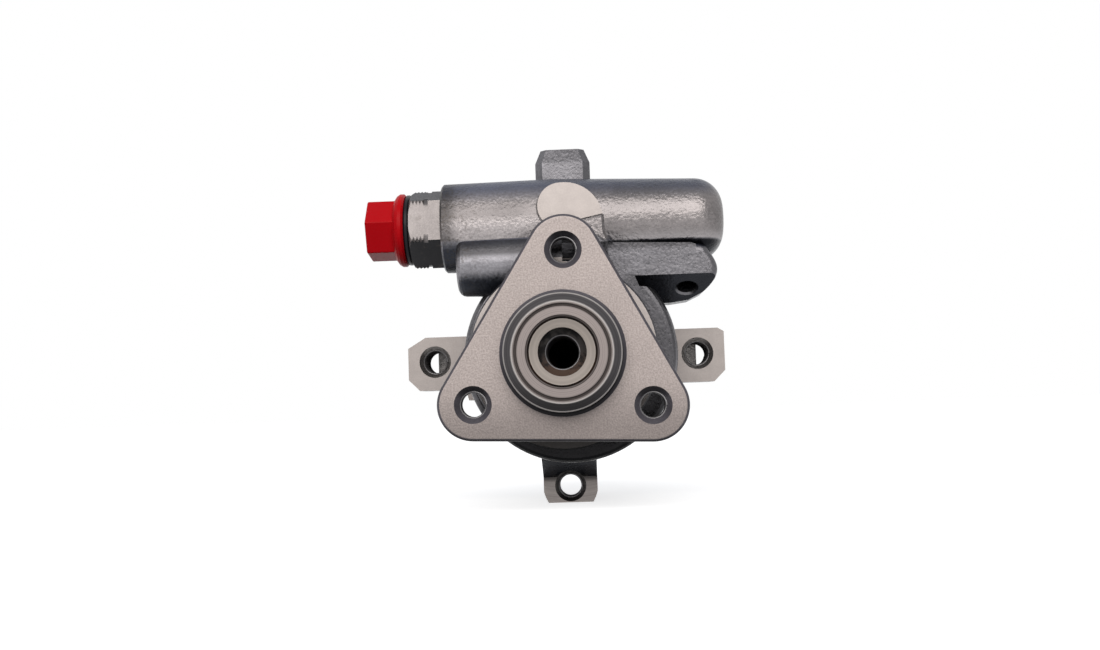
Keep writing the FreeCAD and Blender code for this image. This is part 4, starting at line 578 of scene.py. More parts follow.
class CastingPlaces:
    """Masks of the casting's regions, one inside and zero outside, and the measures behind them."""

    def __init__(self, tree, position, normal, settings):
        axes = split(tree, position)
        turning = use_group(tree, "Turning marks", Position=position, Pitch=settings.milling_pitch)
        self.position = position
        self.normal = normal
        self.x = axes["X"]
        self.depth = axes["Y"]
        self.height = axes["Z"]
        self.radius = turning["Radius"]
        self.arcs = turning["Rings"]
        border = settings.barrel_bottom
        blend_from, blend_to = border - 0.0006, border + 0.0004
        self.over_lug = ramp_between(tree, self.x, settings.lug_from, settings.lug_from + settings.lug_blend)
        raised = scaled_sum(tree, self.over_lug, border - settings.lug_top, self.height)
        self.barrel = ramp_between(tree, raised, blend_from, blend_to)
        inlet, half_blend = settings.inlet_bottom, 0.0005
        self.inlet = ramp_between(tree, self.height, inlet - half_blend, inlet + half_blend)
        painted_sheen = ramp_between(tree, self.x, settings.sheen_left, settings.sheen_right, 1.0, 0.0)
        clear_of_boss = ramp_between(tree, self.height, settings.sheen_bottom, settings.sheen_full)
        self.painted_sheen = times(tree, painted_sheen, clear_of_boss)
        self.ears = over(tree, self.depth, settings.boss_face_y + MM)
        self.low_ear = over(tree, self.depth, settings.low_ear_face_y - MM)
        self.crevice = times(tree, near(tree, self.x, 0.0, settings.crevice_reach),
                             under(tree, self.depth, settings.boss_face_y + settings.crevice_depth))


def casting_skin(tree, at, settings):
    """Cast skin with painted light and shade by the way each face looks; the barrel's underside is painted as
    if lit from below, all but its left end, which keeps the dark tint of faces that look down.
    """
    lit_below = mix_colours(tree, at.over_lug, settings.barrel_underside_light,
                            tinted(settings.barrel_underside_light, settings.under_gain))
    lit = times(tree, at.barrel, over(tree, at.x, settings.dark_underside_end))
    return use_group(tree, "Cast skin", Position=at.position, Normal=at.normal,
                     Grain_Size=settings.grain_size, Contrast=settings.skin_contrast,
                     Front=settings.skin, Above=settings.skin_above_shade,
                     Below=mix_colours(tree, lit, settings.skin_below_shade, lit_below))


def milled_mask(tree, at, settings):
    """One where the cutter has passed: boss, pad, ears, and the feet of block and column."""
    milled = near(tree, at.depth, settings.boss_face_y, settings.face_reach)
    for plane in (settings.ear_face_y, settings.low_ear_face_y):
        milled = either(tree, milled, near(tree, at.depth, plane, settings.face_reach))
    reached = either(tree, under(tree, at.radius, settings.boss_radius),
                     over(tree, at.height, settings.pad_bottom))
    milled = times(tree, milled, facing_front(tree, at.normal, 0.97), either(tree, reached, at.ears))
    half = settings.foot_height / 2
    foot = near(tree, at.height, settings.crevice_foot - half, half)
    return either(tree, milled, times(tree, at.crevice, foot, facing_front(tree, at.normal, 0.9)))


def milled_colour(tree, at, grain, settings):
    """Milled iron; the cutter's arcs show on the lower ear, whose upper part is painted dark as painted
    shadow.
    """
    swept = times(tree, ramp_between(tree, at.arcs, 0.25, 0.75, 0.80, 1.12),
                  ramp_between(tree, at.height, settings.low_ear_light, settings.low_ear_dark, 1.12, 0.3))
    swept = times(tree, shaded(tree, at.low_ear, swept),
                  scaled_sum(tree, at.ears, settings.ear_shade - 1.0, 1.0))
    return scale_colour(tree, mottled(tree, grain, settings.machined, 0.92, 1.06), swept)


def front_gain(tree, at, settings):
    """Painted highlight and shade at the left of the front, by how far a face looks up: faces that look
    nearly forward are painted brighter, the block's faces that look further up darker.
    """
    up = split(tree, at.normal)["Z"]
    above = mix_values(tree, at.barrel, settings.sheen_loss, ramp_between(tree, up, 0.3, 0.5, -0.2, 0.3))
    up = scaled_sum(tree, at.barrel, 0.14, up)
    gain = ramp_between(tree, up, 0.04, 0.28, settings.sheen_gain, above)
    return scaled_sum(tree, at.painted_sheen, gain, 1.0)


def pad_edge(tree, at, settings):
    """One on the step round the milled pad and on a line round the pad's left, both of which get painted
    shade.
    """
    step_middle, step_reach = 0.0007, 0.0006
    step = near(tree, at.depth, settings.boss_face_y + step_middle, step_reach)
    step = times(tree, step, over(tree, at.height, settings.pad_bottom),
                 outside(tree, facing_front(tree, at.normal, 0.6)))
    across = minus(tree, at.x, settings.pad_x)
    above = minus(tree, at.height, settings.pad_z)
    half = settings.pad_shadow_line / 2
    # The groove here is the painted shadow line round the pad's left, not a cut groove.
    groove = near(tree, radius_of(tree, above, across), settings.pad_radius + half, half)
    groove = times(tree, groove, under(tree, across, 0.0),
                   under(tree, at.depth, settings.boss_face_y + settings.pad_depth))
    return either(tree, step, groove)


def skin_shade(tree, at, settings):
    """Brightness of the cast skin, region by region: painted shade below the barrel, in the crease over the
    lug, round the pad, on the body's right side and in the gap over the boss, and a painted highlight at the
    left of the front; the inlet block and the barrel's left end are made darker.
    """
    # Painted shade in the crease where the lug meets the barrel.
    fillet = ramp_between(tree, at.height, settings.fillet_top - settings.fillet_width, settings.fillet_top,
                          1.0, settings.fillet_shade)
    end = ramp_between(tree, at.x, settings.end_from, settings.end_to, settings.end_shade, 1.0)
    side = ramp_between(tree, at.x, settings.side_from, settings.side_from + settings.side_blend)
    side = times(tree, side, under(tree, at.radius, settings.body_radius),
                 under(tree, at.height, settings.side_top))
    gap = times(tree, at.crevice, under(tree, at.height, settings.crevice_top))
    return times(tree,
                 mix_values(tree, at.barrel, settings.low_shade, 1.0),
                 mix_values(tree, at.barrel, shaded(tree, at.over_lug, fillet), 1.0),
                 shaded(tree, at.inlet, settings.inlet_shade),
                 front_gain(tree, at, settings),
                 shaded(tree, pad_edge(tree, at, settings), settings.flank_shade),
                 shaded(tree, at.barrel, end),
                 shaded(tree, side, settings.side_shade),
                 shaded(tree, gap, settings.crevice_shade))


def pit_and_bore(tree, at, cast, settings):
    """Brown pits at the barrel's left end, and the cut walls of the holes in the ears; the wall of the lower
    ear's hole is darkened as painted shade.
    """
    pits = use_group(tree, "Stains", Position=at.position, Size=settings.pit_size, Amount=0.52)["Mask"]
    pits = times(tree, pits, ramp_between(tree, at.x, settings.pit_left, settings.pit_right, 0.5, 0.0))
    cast = mix_colours(tree, pits, cast, settings.pit_colour)
    reach = settings.ear_hole_reach
    in_ear = times(tree, over(tree, calculate(tree, "ABSOLUTE", at.x), settings.ear_hole_from),
                   under(tree, calculate(tree, "ABSOLUTE", at.height), reach), at.ears)
    cast = mix_colours(tree, in_ear, cast, settings.hole_wall)
    # Painted shade inside the lower ear's hole.
    in_low_ear = times(tree, near(tree, at.x, 0.0, reach), near(tree, at.height, settings.low_hole_z, reach),
                       at.low_ear)
    return mix_colours(tree, in_low_ear, cast, tinted(settings.hole_wall, 0.35))


def make_cast_iron(settings):
    """Grey cast iron, with milled faces at the depths where the tool has passed, and painted light and shade
    on the cast skin.
    """
    made, tree, shader, position, normal = new_material("cast_iron", Specular_IOR_Level=0.3)
    at = CastingPlaces(tree, position, normal, settings)
    skin = casting_skin(tree, at, settings)
    grain = use_group(tree, "Fine grain", Position=position, Size=settings.milled_grain)
    milled = milled_mask(tree, at, settings)
    # Painted light: cool tint on the skin away from the barrel.
    cool = mix_colours(tree, minus(tree, at.barrel, at.inlet), settings.cool_tint, (1.0, 1.0, 1.0))
    cast = add_node(tree, "ShaderNodeVectorMath", {0: skin["Colour"], 1: cool}, operation="MULTIPLY")
    cast = scale_colour(tree, cast.outputs[0], skin_shade(tree, at, settings))
    cast = pit_and_bore(tree, at, cast, settings)
    body = mix_colours(tree, milled, cast, milled_colour(tree, at, grain["Value"], settings))
    # Painted shadow of the flange on the body's front below it.
    under_flange = ramp_between(tree, at.height, settings.under_flange_bottom, settings.under_flange_top,
                         settings.under_flange_shade, 1.0)
    before_ears = under(tree, at.depth, settings.ear_face_y - MM)
    body = scale_colour(tree, body, shaded(tree, before_ears, under_flange))
    dull = ramp_between(tree, skin["Grain"], 0.25, 0.75,
                        settings.skin_roughness - 0.04, settings.skin_roughness + 0.06)
    dull = scaled_sum(tree, at.painted_sheen, 0.09, dull)
    feed(tree, shader, Base_Color=body, Roughness=mix_values(tree, milled, dull, 0.46),
         Metallic=mix_values(tree, milled, 0.88, 0.45))
    rough = mix_values(tree, at.barrel, settings.low_grain, shaded(tree, at.inlet, settings.low_grain))
    bumps = mix_values(tree, milled, times(tree, skin["Height"], rough), times(tree, grain["Height"], 0.1))
    add_bump(tree, shader, bumps, settings.grain_depth)
    return made


def hub_rings(tree, radius, settings):
    """Colours of the hub from its bore outwards, by radius; the dark groove lines and sloping rim are painted
    shade, the bright edge lines painted highlights.
    """
    bore = settings.bore_radius
    groove = settings.groove_radius
    groove_start = groove - settings.groove_width
    hub = settings.hub_radius
    face_end = hub - settings.hub_chamfer
    line = settings.ring_line
    stops = [
        (bore + line, settings.groove_shade),
        (bore + 3 * line, tinted(settings.turned, 1.1)),
        (bore + 5 * line, settings.groove_shade),
        (bore + 7 * line, tinted(settings.turned, 1.15)),
        (bore + 12 * line, settings.turned),
        (groove_start - 2 * line, settings.turned),
        (groove_start + line, settings.groove_shade),
        (groove - line, tinted(settings.groove_shade, 1.6)),
        (groove + 2 * line, tinted(settings.turned, 0.75)),
        (face_end - line, settings.edge_highlight),
        (face_end + 2 * line, settings.hub_slope),
        (hub - 4 * line, settings.hub_slope),
        (hub - 3 * line, settings.edge_highlight),
        (hub - line, settings.edge_highlight),
        (hub, settings.hub_slope),
    ]
    first = stops[0][0]
    width = stops[-1][0] - first
    share_of_width = calculate(tree, "DIVIDE", minus(tree, radius, first), width)
    made = add_node(tree, "ShaderNodeValToRGB", {"Fac": share_of_width})
    ramp = made.color_ramp.elements
    for i, (place, tint) in enumerate(stops):
        along = (place - first) / width
        if i == 0:
            stop = ramp[0]
        elif i == len(stops) - 1:
            stop = ramp[-1]
        else:
            stop = ramp.new(along)
        stop.position = along
        stop.color = (*tint, 1.0)
    return made.outputs["Color"]


def hub_colour(tree, height, turning, settings):
    """Turned rings of the hub, whose sloping rim is painted darker below as painted shade."""
    rings = scale_colour(tree, hub_rings(tree, turning["Radius"], settings),
                         ramp_between(tree, turning["Rings"], 0.25, 0.75, 0.72, 1.2))
    hub = settings.hub_radius
    # Painted highlight line on the hub's rim, kept out of the rim's painted shade.
    worn = near(tree, turning["Radius"], hub - 2 * settings.ring_line, settings.highlight_half_width)
    sloping = times(tree, over(tree, turning["Radius"], hub - settings.hub_chamfer), outside(tree, worn))
    rim_shade = ramp_between(tree, height, -hub, -hub * 0.3, settings.hub_shade, 1.0)
    return scale_colour(tree, rings, shaded(tree, sloping, rim_shade))


def hub_foot_shade(tree, height, radius, flat, settings):
    """Painted shadow on the flange round the hub's foot, darkest below."""
    hub = settings.hub_radius
    foot = times(tree, under(tree, radius, hub + settings.foot_width), outside(tree, flat))
    dark = ramp_between(tree, height, -hub, hub * 0.3, settings.hub_shade * 0.5, 0.7)
    below = ramp_between(tree, height, -hub, -hub * 0.4, settings.hub_shade, 1.0)
    below = ramp_between(tree, radius, hub, hub + settings.hub_shadow_width, below, 1.0)
    return mix_values(tree, foot, below, dark)


def make_flange_steel(settings):
    """Fine-blasted flange with turned hub rings; the rims, flanks, the face's lower part and the hub's foot
    carry painted shade, and the hub's edges painted highlights.
    """
    made, tree, shader, position, normal = new_material("flange_steel", Specular_IOR_Level=0.15)
    # Painted shade on the rims and flanks, darkest where they look down.
    skin = use_group(tree, "Cast skin", Position=position, Normal=normal, Grain_Size=settings.grain_size,
                     Contrast=0.2, Front=settings.rim, Above=settings.rim, Below=tinted(settings.rim, 0.3))
    turning = use_group(tree, "Turning marks", Position=position, Pitch=settings.turning_pitch)
    clouds = use_group(tree, "Fine grain", Position=position, Size=settings.cloud_size)
    axes = split(tree, position)
    flat = facing_front(tree, normal, 0.96)
    face = scale_colour(tree, mottled(tree, clouds["Value"], settings.face, 0.92, 1.02),
                        ramp_between(tree, skin["Grain"], 0.3, 0.7, 0.84, 1.12))
    # Painted shade, darker towards the bottom of the face.
    lower_face = ramp_between(tree, axes["Z"], settings.lower_face_bottom, settings.lower_face_top, settings.lower_face_shade, 1.0)
    body = mix_colours(tree, flat, skin["Colour"], scale_colour(tree, face, lower_face))
    body = scale_colour(tree, body, hub_foot_shade(tree, axes["Z"], turning["Radius"], flat, settings))
    on_hub = under(tree, axes["Y"], settings.hub_front)
    body = mix_colours(tree, on_hub, body, hub_colour(tree, axes["Z"], turning, settings))
    feed(tree, shader, Base_Color=body,
         Roughness=mix_values(tree, flat, 0.42, mix_values(tree, on_hub, 0.52, 0.40)),
         Metallic=mix_values(tree, flat, 0.3, 0.5))
    bumps = mix_values(tree, on_hub, skin["Height"], times(tree, turning["Rings"], 0.15))
    add_bump(tree, shader, bumps, distance=0.00009)
    return made


def make_shaft_steel(settings):
    """Turned shaft end, with light rust in the centre bore; the bore's near-black wall is partly painted
    shade and is painted lighter low down and darker high up.
    """
    made, tree, shader, position, normal = new_material("shaft_steel", Specular_IOR_Level=0.3)
    turning = use_group(tree, "Turning marks", Position=position, Pitch=settings.turning_pitch)
    stains = use_group(tree, "Stains", Position=position, Size=0.004, Amount=0.75)
    axes = split(tree, position)
    front = times(tree, facing_front(tree, normal, 0.9), under(tree, axes["Y"], settings.shaft_front))
    # Painted light and shade: the bore's wall is lighter low down and darker high up.
    lit = ramp_between(tree, axes["Z"], settings.bore_light, settings.bore_dark, 0.9, 0.12)
    flank = scale_colour(tree, mix_colours(tree, stains["Mask"], settings.bore, settings.rust), lit)
    face = scale_colour(tree, mottled(tree, turning["Rings"], settings.shaft_end, 0.85, 1.08),
                        ramp_between(tree, axes["Z"], settings.end_bottom, settings.end_top, 1.08, 0.8))
    feed(tree, shader, Base_Color=mix_colours(tree, front, flank, face),
         Roughness=mix_values(tree, front, 0.38, 0.42),
         Metallic=mix_values(tree, front, scaled_sum(tree, stains["Mask"], -0.5, 0.7), 0.5))
    add_bump(tree, shader, turning["Rings"], distance=0.000015)
    return made


def make_fitting_metal(settings):
    """Plated fitting with painted light and shade: flats in front painted bright, those above darker and
    those below darkest.
    """
    made, tree, shader, position, normal = new_material("fitting_metal", Specular_IOR_Level=0.3)
    skin = use_group(tree, "Cast skin", Position=position, Normal=normal, Grain_Size=0.0006, Contrast=0.25,
                     Front=settings.metal, Above=settings.upper, Below=settings.lower)
    stains = use_group(tree, "Stains", Position=position, Size=0.003, Amount=0.35)
    body = mix_colours(tree, times(tree, stains["Mask"], 0.22), skin["Colour"], settings.stain)
    feed(tree, shader, Base_Color=body, Roughness=ramp_between(tree, skin["Grain"], 0.25, 0.75, 0.38, 0.5),
         Metallic=ramp_between(tree, stains["Mask"], 0.0, 1.0, 0.75, 0.68))
    add_bump(tree, shader, skin["Height"], distance=0.00003)
    return made


def make_fine_metal(name, tint, metallic, roughness, size):
    """Plain ground, hardened or turned metal with a fine grain."""
    made, tree, shader, position = new_material(name, Specular_IOR_Level=0.5, Metallic=metallic)[:4]
    grain = use_group(tree, "Fine grain", Position=position, Size=size)
    stains = use_group(tree, "Stains", Position=position, Size=0.006, Amount=0.2)
    body = mottled(tree, grain["Value"], tint, 0.82, 1.0)
    body = mix_colours(tree, times(tree, stains["Mask"], 0.35), body, tinted(tint, 0.5))
    feed(tree, shader, Base_Color=body,
         Roughness=ramp_between(tree, grain["Value"], 0.2, 0.8, roughness - 0.06, roughness + 0.08))
    add_bump(tree, shader, grain["Height"], distance=0.00002)
    return made


def make_red_plastic(settings):
    """Moulded plastic, a little paler where it has been handled."""
    made, tree, shader, position = new_material("red_plastic", Specular_IOR_Level=0.08)[:4]
    grain = use_group(tree, "Fine grain", Position=position, Size=0.0025)
    stains = use_group(tree, "Stains", Position=position, Size=0.005, Amount=0.3)
    body = mix_colours(tree, times(tree, grain["Value"], 0.6), settings.plastic, settings.plastic_worn)
    feed(tree, shader, Base_Color=body, Roughness=scaled_sum(tree, stains["Mask"], 0.1, 0.38))
    add_bump(tree, shader, grain["Height"], distance=0.00004)
    return made


def make_black_rubber(settings):
    """Moulded rubber with a fine grain."""
    made, tree, shader, position = new_material("black_rubber", Specular_IOR_Level=0.15)[:4]
    grain = use_group(tree, "Fine grain", Position=position, Size=0.0008)
    body = mix_colours(tree, grain["Value"], settings.rubber, tinted(settings.rubber, 2.2))
    feed(tree, shader, Base_Color=body, Roughness=ramp_between(tree, grain["Value"], 0.2, 0.8, 0.28, 0.4))
    add_bump(tree, shader, grain["Height"], distance=0.00002)
    return made


# Steps, each with what it needs

def dress(names, material):
    """Gives CAD nodes their finish."""
    for name in names:
        mesh = NODES[name].data
        mesh.materials.clear()
        mesh.materials.append(material)


def new_piece(name, mesh, material, body):
    """A finished mesh as an object that rides on its body."""
    piece = bpy.data.objects.new(name, mesh)
    bpy.context.scene.collection.objects.link(piece)
    mesh.materials.clear()
    mesh.materials.append(material)
    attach(piece, body)
    return piece


def prepare_groups():
    """Makes the shared effects the first time they are needed."""
    if "Cast skin" not in bpy.data.node_groups:
        make_skin_group()
        make_turning_group()
        make_stain_group()
        make_grain_group()


class PUMP_OT_casting(bpy.types.Operator):
    """Finish the housing as cast iron with milled faces"""
    bl_idname = "pump.casting"
    bl_label = "Finish Casting"

    def execute(self, context):
        prepare_groups()
        dress(["housing"], make_cast_iron(context.scene.pump_casting))
        return {"FINISHED"}


class PUMP_OT_flange(bpy.types.Operator):
    """Finish the pulley flange and the shaft"""
    bl_idname = "pump.flange"
    bl_label = "Finish Flange"

    def execute(self, context):
        prepare_groups()
        settings = context.scene.pump_flange
        dress(["pulley_flange"], make_flange_steel(settings))
        dress(["shaft"], make_shaft_steel(settings))
        return {"FINISHED"}


def fitting_radius(settings, along, thread_end, angle, turned):
    """Radius at a distance from the open end and an angle; a turned radius is kept inside the flats."""
    if turned and turned <= settings.across_flats / 2:
        return turned
    sixth = math.pi / 3
    off_flat = (angle - settings.flat_turn + sixth / 2) % sixth - sixth / 2
    flats = settings.across_flats / 2 / math.cos(off_flat)
    if turned:
        return min(turned, flats)
    radius = settings.outer_radius
    if along < thread_end:
        wave = abs(((along / settings.thread_pitch - angle / (2 * math.pi)) % 1.0) * 2.0 - 1.0)
        radius -= settings.thread_depth * wave
    if along < settings.end_bevel:
        end_radius = settings.across_flats / 2 * 1.02
        slope = (settings.outer_radius - end_radius) / settings.end_bevel
        radius = min(radius, settings.outer_radius - slope * (settings.end_bevel - along))
    return min(radius, flats)


def fitting_rings(settings, left, right):
    """Places along the fitting with their radii; None stands for the flats and the thread."""
    face = right - settings.nose_length - settings.shank_length
    flange = face - settings.flange_width
    collar = flange - settings.collar_width
    neck = collar - settings.neck_width
    thread_end = neck - left
    steps = round(thread_end / settings.thread_pitch * settings.thread_steps)
    rings = [(left + thread_end * i / steps, None) for i in range(steps + 1)]
    outer = settings.outer_radius
    neck_radius = outer - settings.neck_depth
    shank = settings.shank_radius
    shoulder = face + settings.shank_length
    seal = settings.seal_radius
    groove = face + settings.seal_offset
    nose, orifice, port = settings.nose_radius, settings.orifice_radius, settings.port_radius
    floor = left + settings.port_depth
    rings += [
        (neck, neck_radius), (collar, neck_radius), (collar, None), (flange, None),
        (flange, outer), (face, outer), (face, shank),
        (groove - seal, shank), (groove - seal, shank - 2 * seal),
        (groove + seal, shank - 2 * seal), (groove + seal, shank),
        (shoulder, shank), (shoulder, nose), (right, nose), (right, orifice),
        (floor, orifice), (floor, port), (left, port)]
    return rings, thread_end


def mesh_of(work, name):
    """Turns the faces outward and hands the finished mesh over."""
    bmesh.ops.recalc_face_normals(work, faces=work.faces)
    mesh = bpy.data.meshes.new(name)
    work.to_mesh(mesh)
    work.free()
    return mesh


def join_rings(name, rings, closed):
    """A skin over rings of places; it closes on itself or has a cap at each end."""
    work = bmesh.new()
    rings = [[work.verts.new(place) for place in ring] for ring in rings]
    for first, second in zip(rings, rings[1:] + rings[:closed]):
        for i in range(len(first)):
            j = (i + 1) % len(first)
            work.faces.new((first[i], first[j], second[j], second[i]))
    if not closed:
        work.faces.new(rings[0])
        work.faces.new(rings[-1])
    return mesh_of(work, name)


def build_fitting_mesh(settings):
    """The threaded hex fitting as rings of points about the barrel axis."""
    low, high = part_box("outlet_fitting")
    centre_y, centre_z = (low.y + high.y) / 2, (low.z + high.z) / 2
    places, thread_end = fitting_rings(settings, low.x, high.x)
    rings = []
    for x, fixed in places:
        ring = []
        for i in range(settings.sides):
            angle = 2 * math.pi * i / settings.sides
            radius = fitting_radius(settings, x - low.x, thread_end, angle, fixed)
            ring.append((x, centre_y + radius * math.cos(angle), centre_z + radius * math.sin(angle)))
        rings.append(ring)
    return join_rings("outlet_fitting_threaded", rings, closed=True)


class PUMP_OT_fitting(bpy.types.Operator):
    """Build the threaded outlet fitting in the left end of the barrel"""
    bl_idname = "pump.fitting"
    bl_label = "Build Outlet Fitting"

    def execute(self, context):
        prepare_groups()
        settings = context.scene.pump_fitting
        metal = make_fitting_metal(settings)
        piece = new_piece("outlet_fitting_threaded", build_fitting_mesh(settings), metal, "pump_body")
        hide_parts("outlet_fitting")
        return {"FINISHED"}


class PUMP_OT_plug(bpy.types.Operator):
    """Finish the red transit plug and its rubber ring"""
    bl_idname = "pump.plug"
    bl_label = "Finish Transit Plug"

    def execute(self, context):
        prepare_groups()
        settings = context.scene.pump_plug
        dress(["port_cap"], make_red_plastic(settings))
        seals = ["port_cap_seal", "shaft_seal", "pressure_plate_seal", "end_cover_seal", "fitting_seal"]
        dress(seals, make_black_rubber(settings))
        return {"FINISHED"}


def thread_tree():
    """A helical ridge about Y: radius, pitch, number of turns, height and place are inputs."""
    tree, given, result = new_group(
        "Thread ridge",
        {"Radius": "Float", "Pitch": "Float", "Turns": "Float", "Ridge": "Float", "Resolution": "Int",
         "Start": "Vector", "Material": "Material"},
        {"Geometry": "Geometry"}, "GeometryNodeTree")
    helix = add_node(tree, "GeometryNodeCurveSpiral", {
        "Resolution": given["Resolution"], "Rotations": given["Turns"], "Start Radius": given["Radius"],
        "End Radius": given["Radius"], "Height": times(tree, given["Pitch"], given["Turns"])})
    upright = add_node(tree, "GeometryNodeSetCurveNormal", {"Curve": helix.outputs[0]}, mode="Z_UP")
    profile = add_node(tree, "GeometryNodeCurvePrimitiveCircle", {"Resolution": 4, "Radius": given["Ridge"]})
    ridge = add_node(tree, "GeometryNodeCurveToMesh", {
        "Curve": upright.outputs[0], "Profile Curve": profile.outputs[0], "Fill Caps": True})
    placed = add_node(tree, "GeometryNodeTransform", {
        "Geometry": ridge.outputs[0], "Translation": given["Start"], "Rotation": (-math.pi / 2, 0.0, 0.0)})
    real = add_node(tree, "GeometryNodeRealizeInstances", {"Geometry": placed.outputs[0]})
    painted = add_node(tree, "GeometryNodeSetMaterial", {
        "Geometry": real.outputs[0], "Material": given["Material"]})
    connect(tree, result["Geometry"], painted.outputs[0])
    return tree


def run_tree(tree, values):
    """The mesh that a geometry tree makes from named values."""
    carrier = bpy.data.objects.new("carrier", bpy.data.meshes.new("carrier"))
    bpy.context.scene.collection.objects.link(carrier)
    modifier = carrier.modifiers.new("carrier", "NODES")
    modifier.node_group = tree
    for item in tree.interface.items_tree:
        if item.in_out == "INPUT":
            modifier[item.identifier] = values[item.name]
    bpy.context.view_layer.update()
    shaped = carrier.evaluated_get(bpy.context.evaluated_depsgraph_get())
    mesh = bpy.data.meshes.new_from_object(shaped)
    carrier.modifiers.clear()
    bpy.data.objects.remove(carrier)
    return mesh


def grow_threads(name, holes, pitch, material, body):
    """One piece with the thread ridges of several holes; each hole is (radius, start, length)."""
    settings = bpy.context.scene.pump_threads
    tree = bpy.data.node_groups.get("Thread ridge") or thread_tree()
    work = bmesh.new()
    for radius, start, run in holes:
        ridge = run_tree(tree, {
            "Radius": radius, "Pitch": pitch, "Turns": run / pitch, "Ridge": settings.ridge,
            "Resolution": settings.resolution, "Start": tuple(start), "Material": material})
        work.from_mesh(ridge)
        bpy.data.meshes.remove(ridge)
    return new_piece(name, mesh_of(work, name), material, body)


def hole_of_mount(name, inset):
    """Radius, front end and length of a tapped hole from its mount."""
    run = mount_size(name, "length_mm")
    front = mount_place(name) - Vector((0, run / 2, 0))
    return mount_size(name, "r_mm"), front + Vector((0, inset, 0)), run - 2 * inset


def flange_holes(settings, roll):
    """The tapped holes of the flange, spread evenly from the one that is on top in the photo."""
    pattern = MOUNTS["pulley_bolts"]["dims"]["count"]
    circle = mount_size("pulley_bolts", "pcd_mm") / 2
    run = settings.flange_thickness - 2 * settings.flange_chamfer
    holes = []
    for i in range(pattern):
        angle = math.radians(90.0) - roll + 2 * math.pi * i / pattern
        start = Vector((circle * math.cos(angle), settings.flange_chamfer, circle * math.sin(angle)))
        holes.append((mount_size("pulley_bolts", "hole_r_mm"), start, run))
    return holes


class PUMP_OT_threads(bpy.types.Operator):
    """Add thread ridges to the tapped holes of the flange, the ears and the shaft"""
    bl_idname = "pump.threads"
    bl_label = "Add Hole Threads"

    def execute(self, context):
        prepare_groups()
        settings = context.scene.pump_threads
        metal = make_fine_metal("thread_metal", settings.metal, metallic=0.6, roughness=0.40, size=0.0009)
        ears = [hole_of_mount(name, settings.ridge) for name in ("ear_left", "ear_right", "ear_bottom")]
        grow_threads("ear_threads", ears, settings.bolt_pitch, metal, "pump_body")
        flange = flange_holes(settings, context.scene.pump_stage.camera_roll)
        grow_threads("flange_threads", flange, settings.bolt_pitch, metal, "rotating_group")
        start = Vector((0, settings.centre_front + settings.ridge, 0))
        centre = [(mount_size("shaft_thread", "r_mm"), start, settings.centre_run)]
        grow_threads("shaft_thread_ridges", centre, settings.centre_pitch, metal, "rotating_group")
        return {"FINISHED"}


def spring_finish():
    """The finish that all the spring steel shares."""
    made = bpy.data.materials.get("spring_steel")
    tint = bpy.context.scene.pump_inner.spring
    return made or make_fine_metal("spring_steel", tint, metallic=0.7, roughness=0.38, size=0.0006)


def build_coil_mesh(name, low, high, wire, turns, settings):
    """A round wire wound along X inside a box."""
    centre_y, centre_z = (low.y + high.y) / 2, (low.z + high.z) / 2
    radius = (high.y - low.y) / 2 - wire
    steps = turns * settings.turn_steps
    rings = []
    for i in range(steps + 1):
        x = low.x + wire + (high.x - low.x - 2 * wire) * i / steps
        angle = 2 * math.pi * i / settings.turn_steps
        ring = []
        for k in range(settings.wire_sides):
            turn = 2 * math.pi * k / settings.wire_sides
            reach = radius + wire * math.sin(turn)
            ring.append((x + wire * math.cos(turn), centre_y + reach * math.cos(angle),
                         centre_z + reach * math.sin(angle)))
        rings.append(ring)
    return join_rings(name, rings, closed=False)


def wind_spring(node, body, wire, turns, settings):
    """Winds a spring in the place of its CAD node."""
    low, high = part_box(node)
    name = node + "_wound"
    mesh = build_coil_mesh(name, low, high, wire, turns, settings)
    piece = new_piece(name, mesh, spring_finish(), body)
    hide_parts(node)
    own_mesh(piece)


class PUMP_OT_springs(bpy.types.Operator):
    """Wind the spool spring and the relief spring of the flow valve"""
    bl_idname = "pump.springs"
    bl_label = "Wind Springs"

    def execute(self, context):
        prepare_groups()
        settings = context.scene.pump_springs
        wind_spring("spool_spring", "pump_body",
                    settings.spool_wire, settings.spool_turns, settings)
        wind_spring("relief_spring", "spool_body",
                    settings.relief_wire, settings.relief_turns, settings)
        return {"FINISHED"}


class PUMP_OT_inner_parts(bpy.types.Operator):
    """Finish the bearing, the pumping set and the flow valve"""
    bl_idname = "pump.inner_parts"
    bl_label = "Finish Inner Parts"

    def execute(self, context):
        prepare_groups()
        settings = context.scene.pump_inner
        finishes = {
            "machined_steel": make_fine_metal(
                "ground_steel", settings.steel, metallic=0.8, roughness=0.3, size=0.0006),
            "spring_steel": spring_finish(),
            "ground_iron": make_fine_metal(
                "ground_iron", settings.iron, metallic=0.6, roughness=0.42, size=0.0009),
            "bronze": make_fine_metal("bronze", settings.bronze, metallic=0.85, roughness=0.36, size=0.0008),
        }
        done = ("housing", "pulley_flange", "shaft")
        for part in frame["record"]["subparts"]:
            if part["material_slot"] in finishes and part["node"] not in done:
                dress([part["node"]], finishes[part["material_slot"]])
        return {"FINISHED"}


# Stage

def build_light(settings):
    """One soft light in front of the pump and above it."""
    data = bpy.data.lights.new("front_light", "AREA")
    data.shape = "RECTANGLE"
    data.size, data.size_y = settings.front_size
    data.energy = settings.front_power
    data.color = settings.front_tint
    lamp = bpy.data.objects.new("front_light", data)
    lamp.location = settings.front_place
    aim = Vector(settings.aim) - Vector(settings.front_place)
    lamp.rotation_euler = aim.to_track_quat("-Z", "Y").to_euler()
    bpy.context.scene.collection.objects.link(lamp)


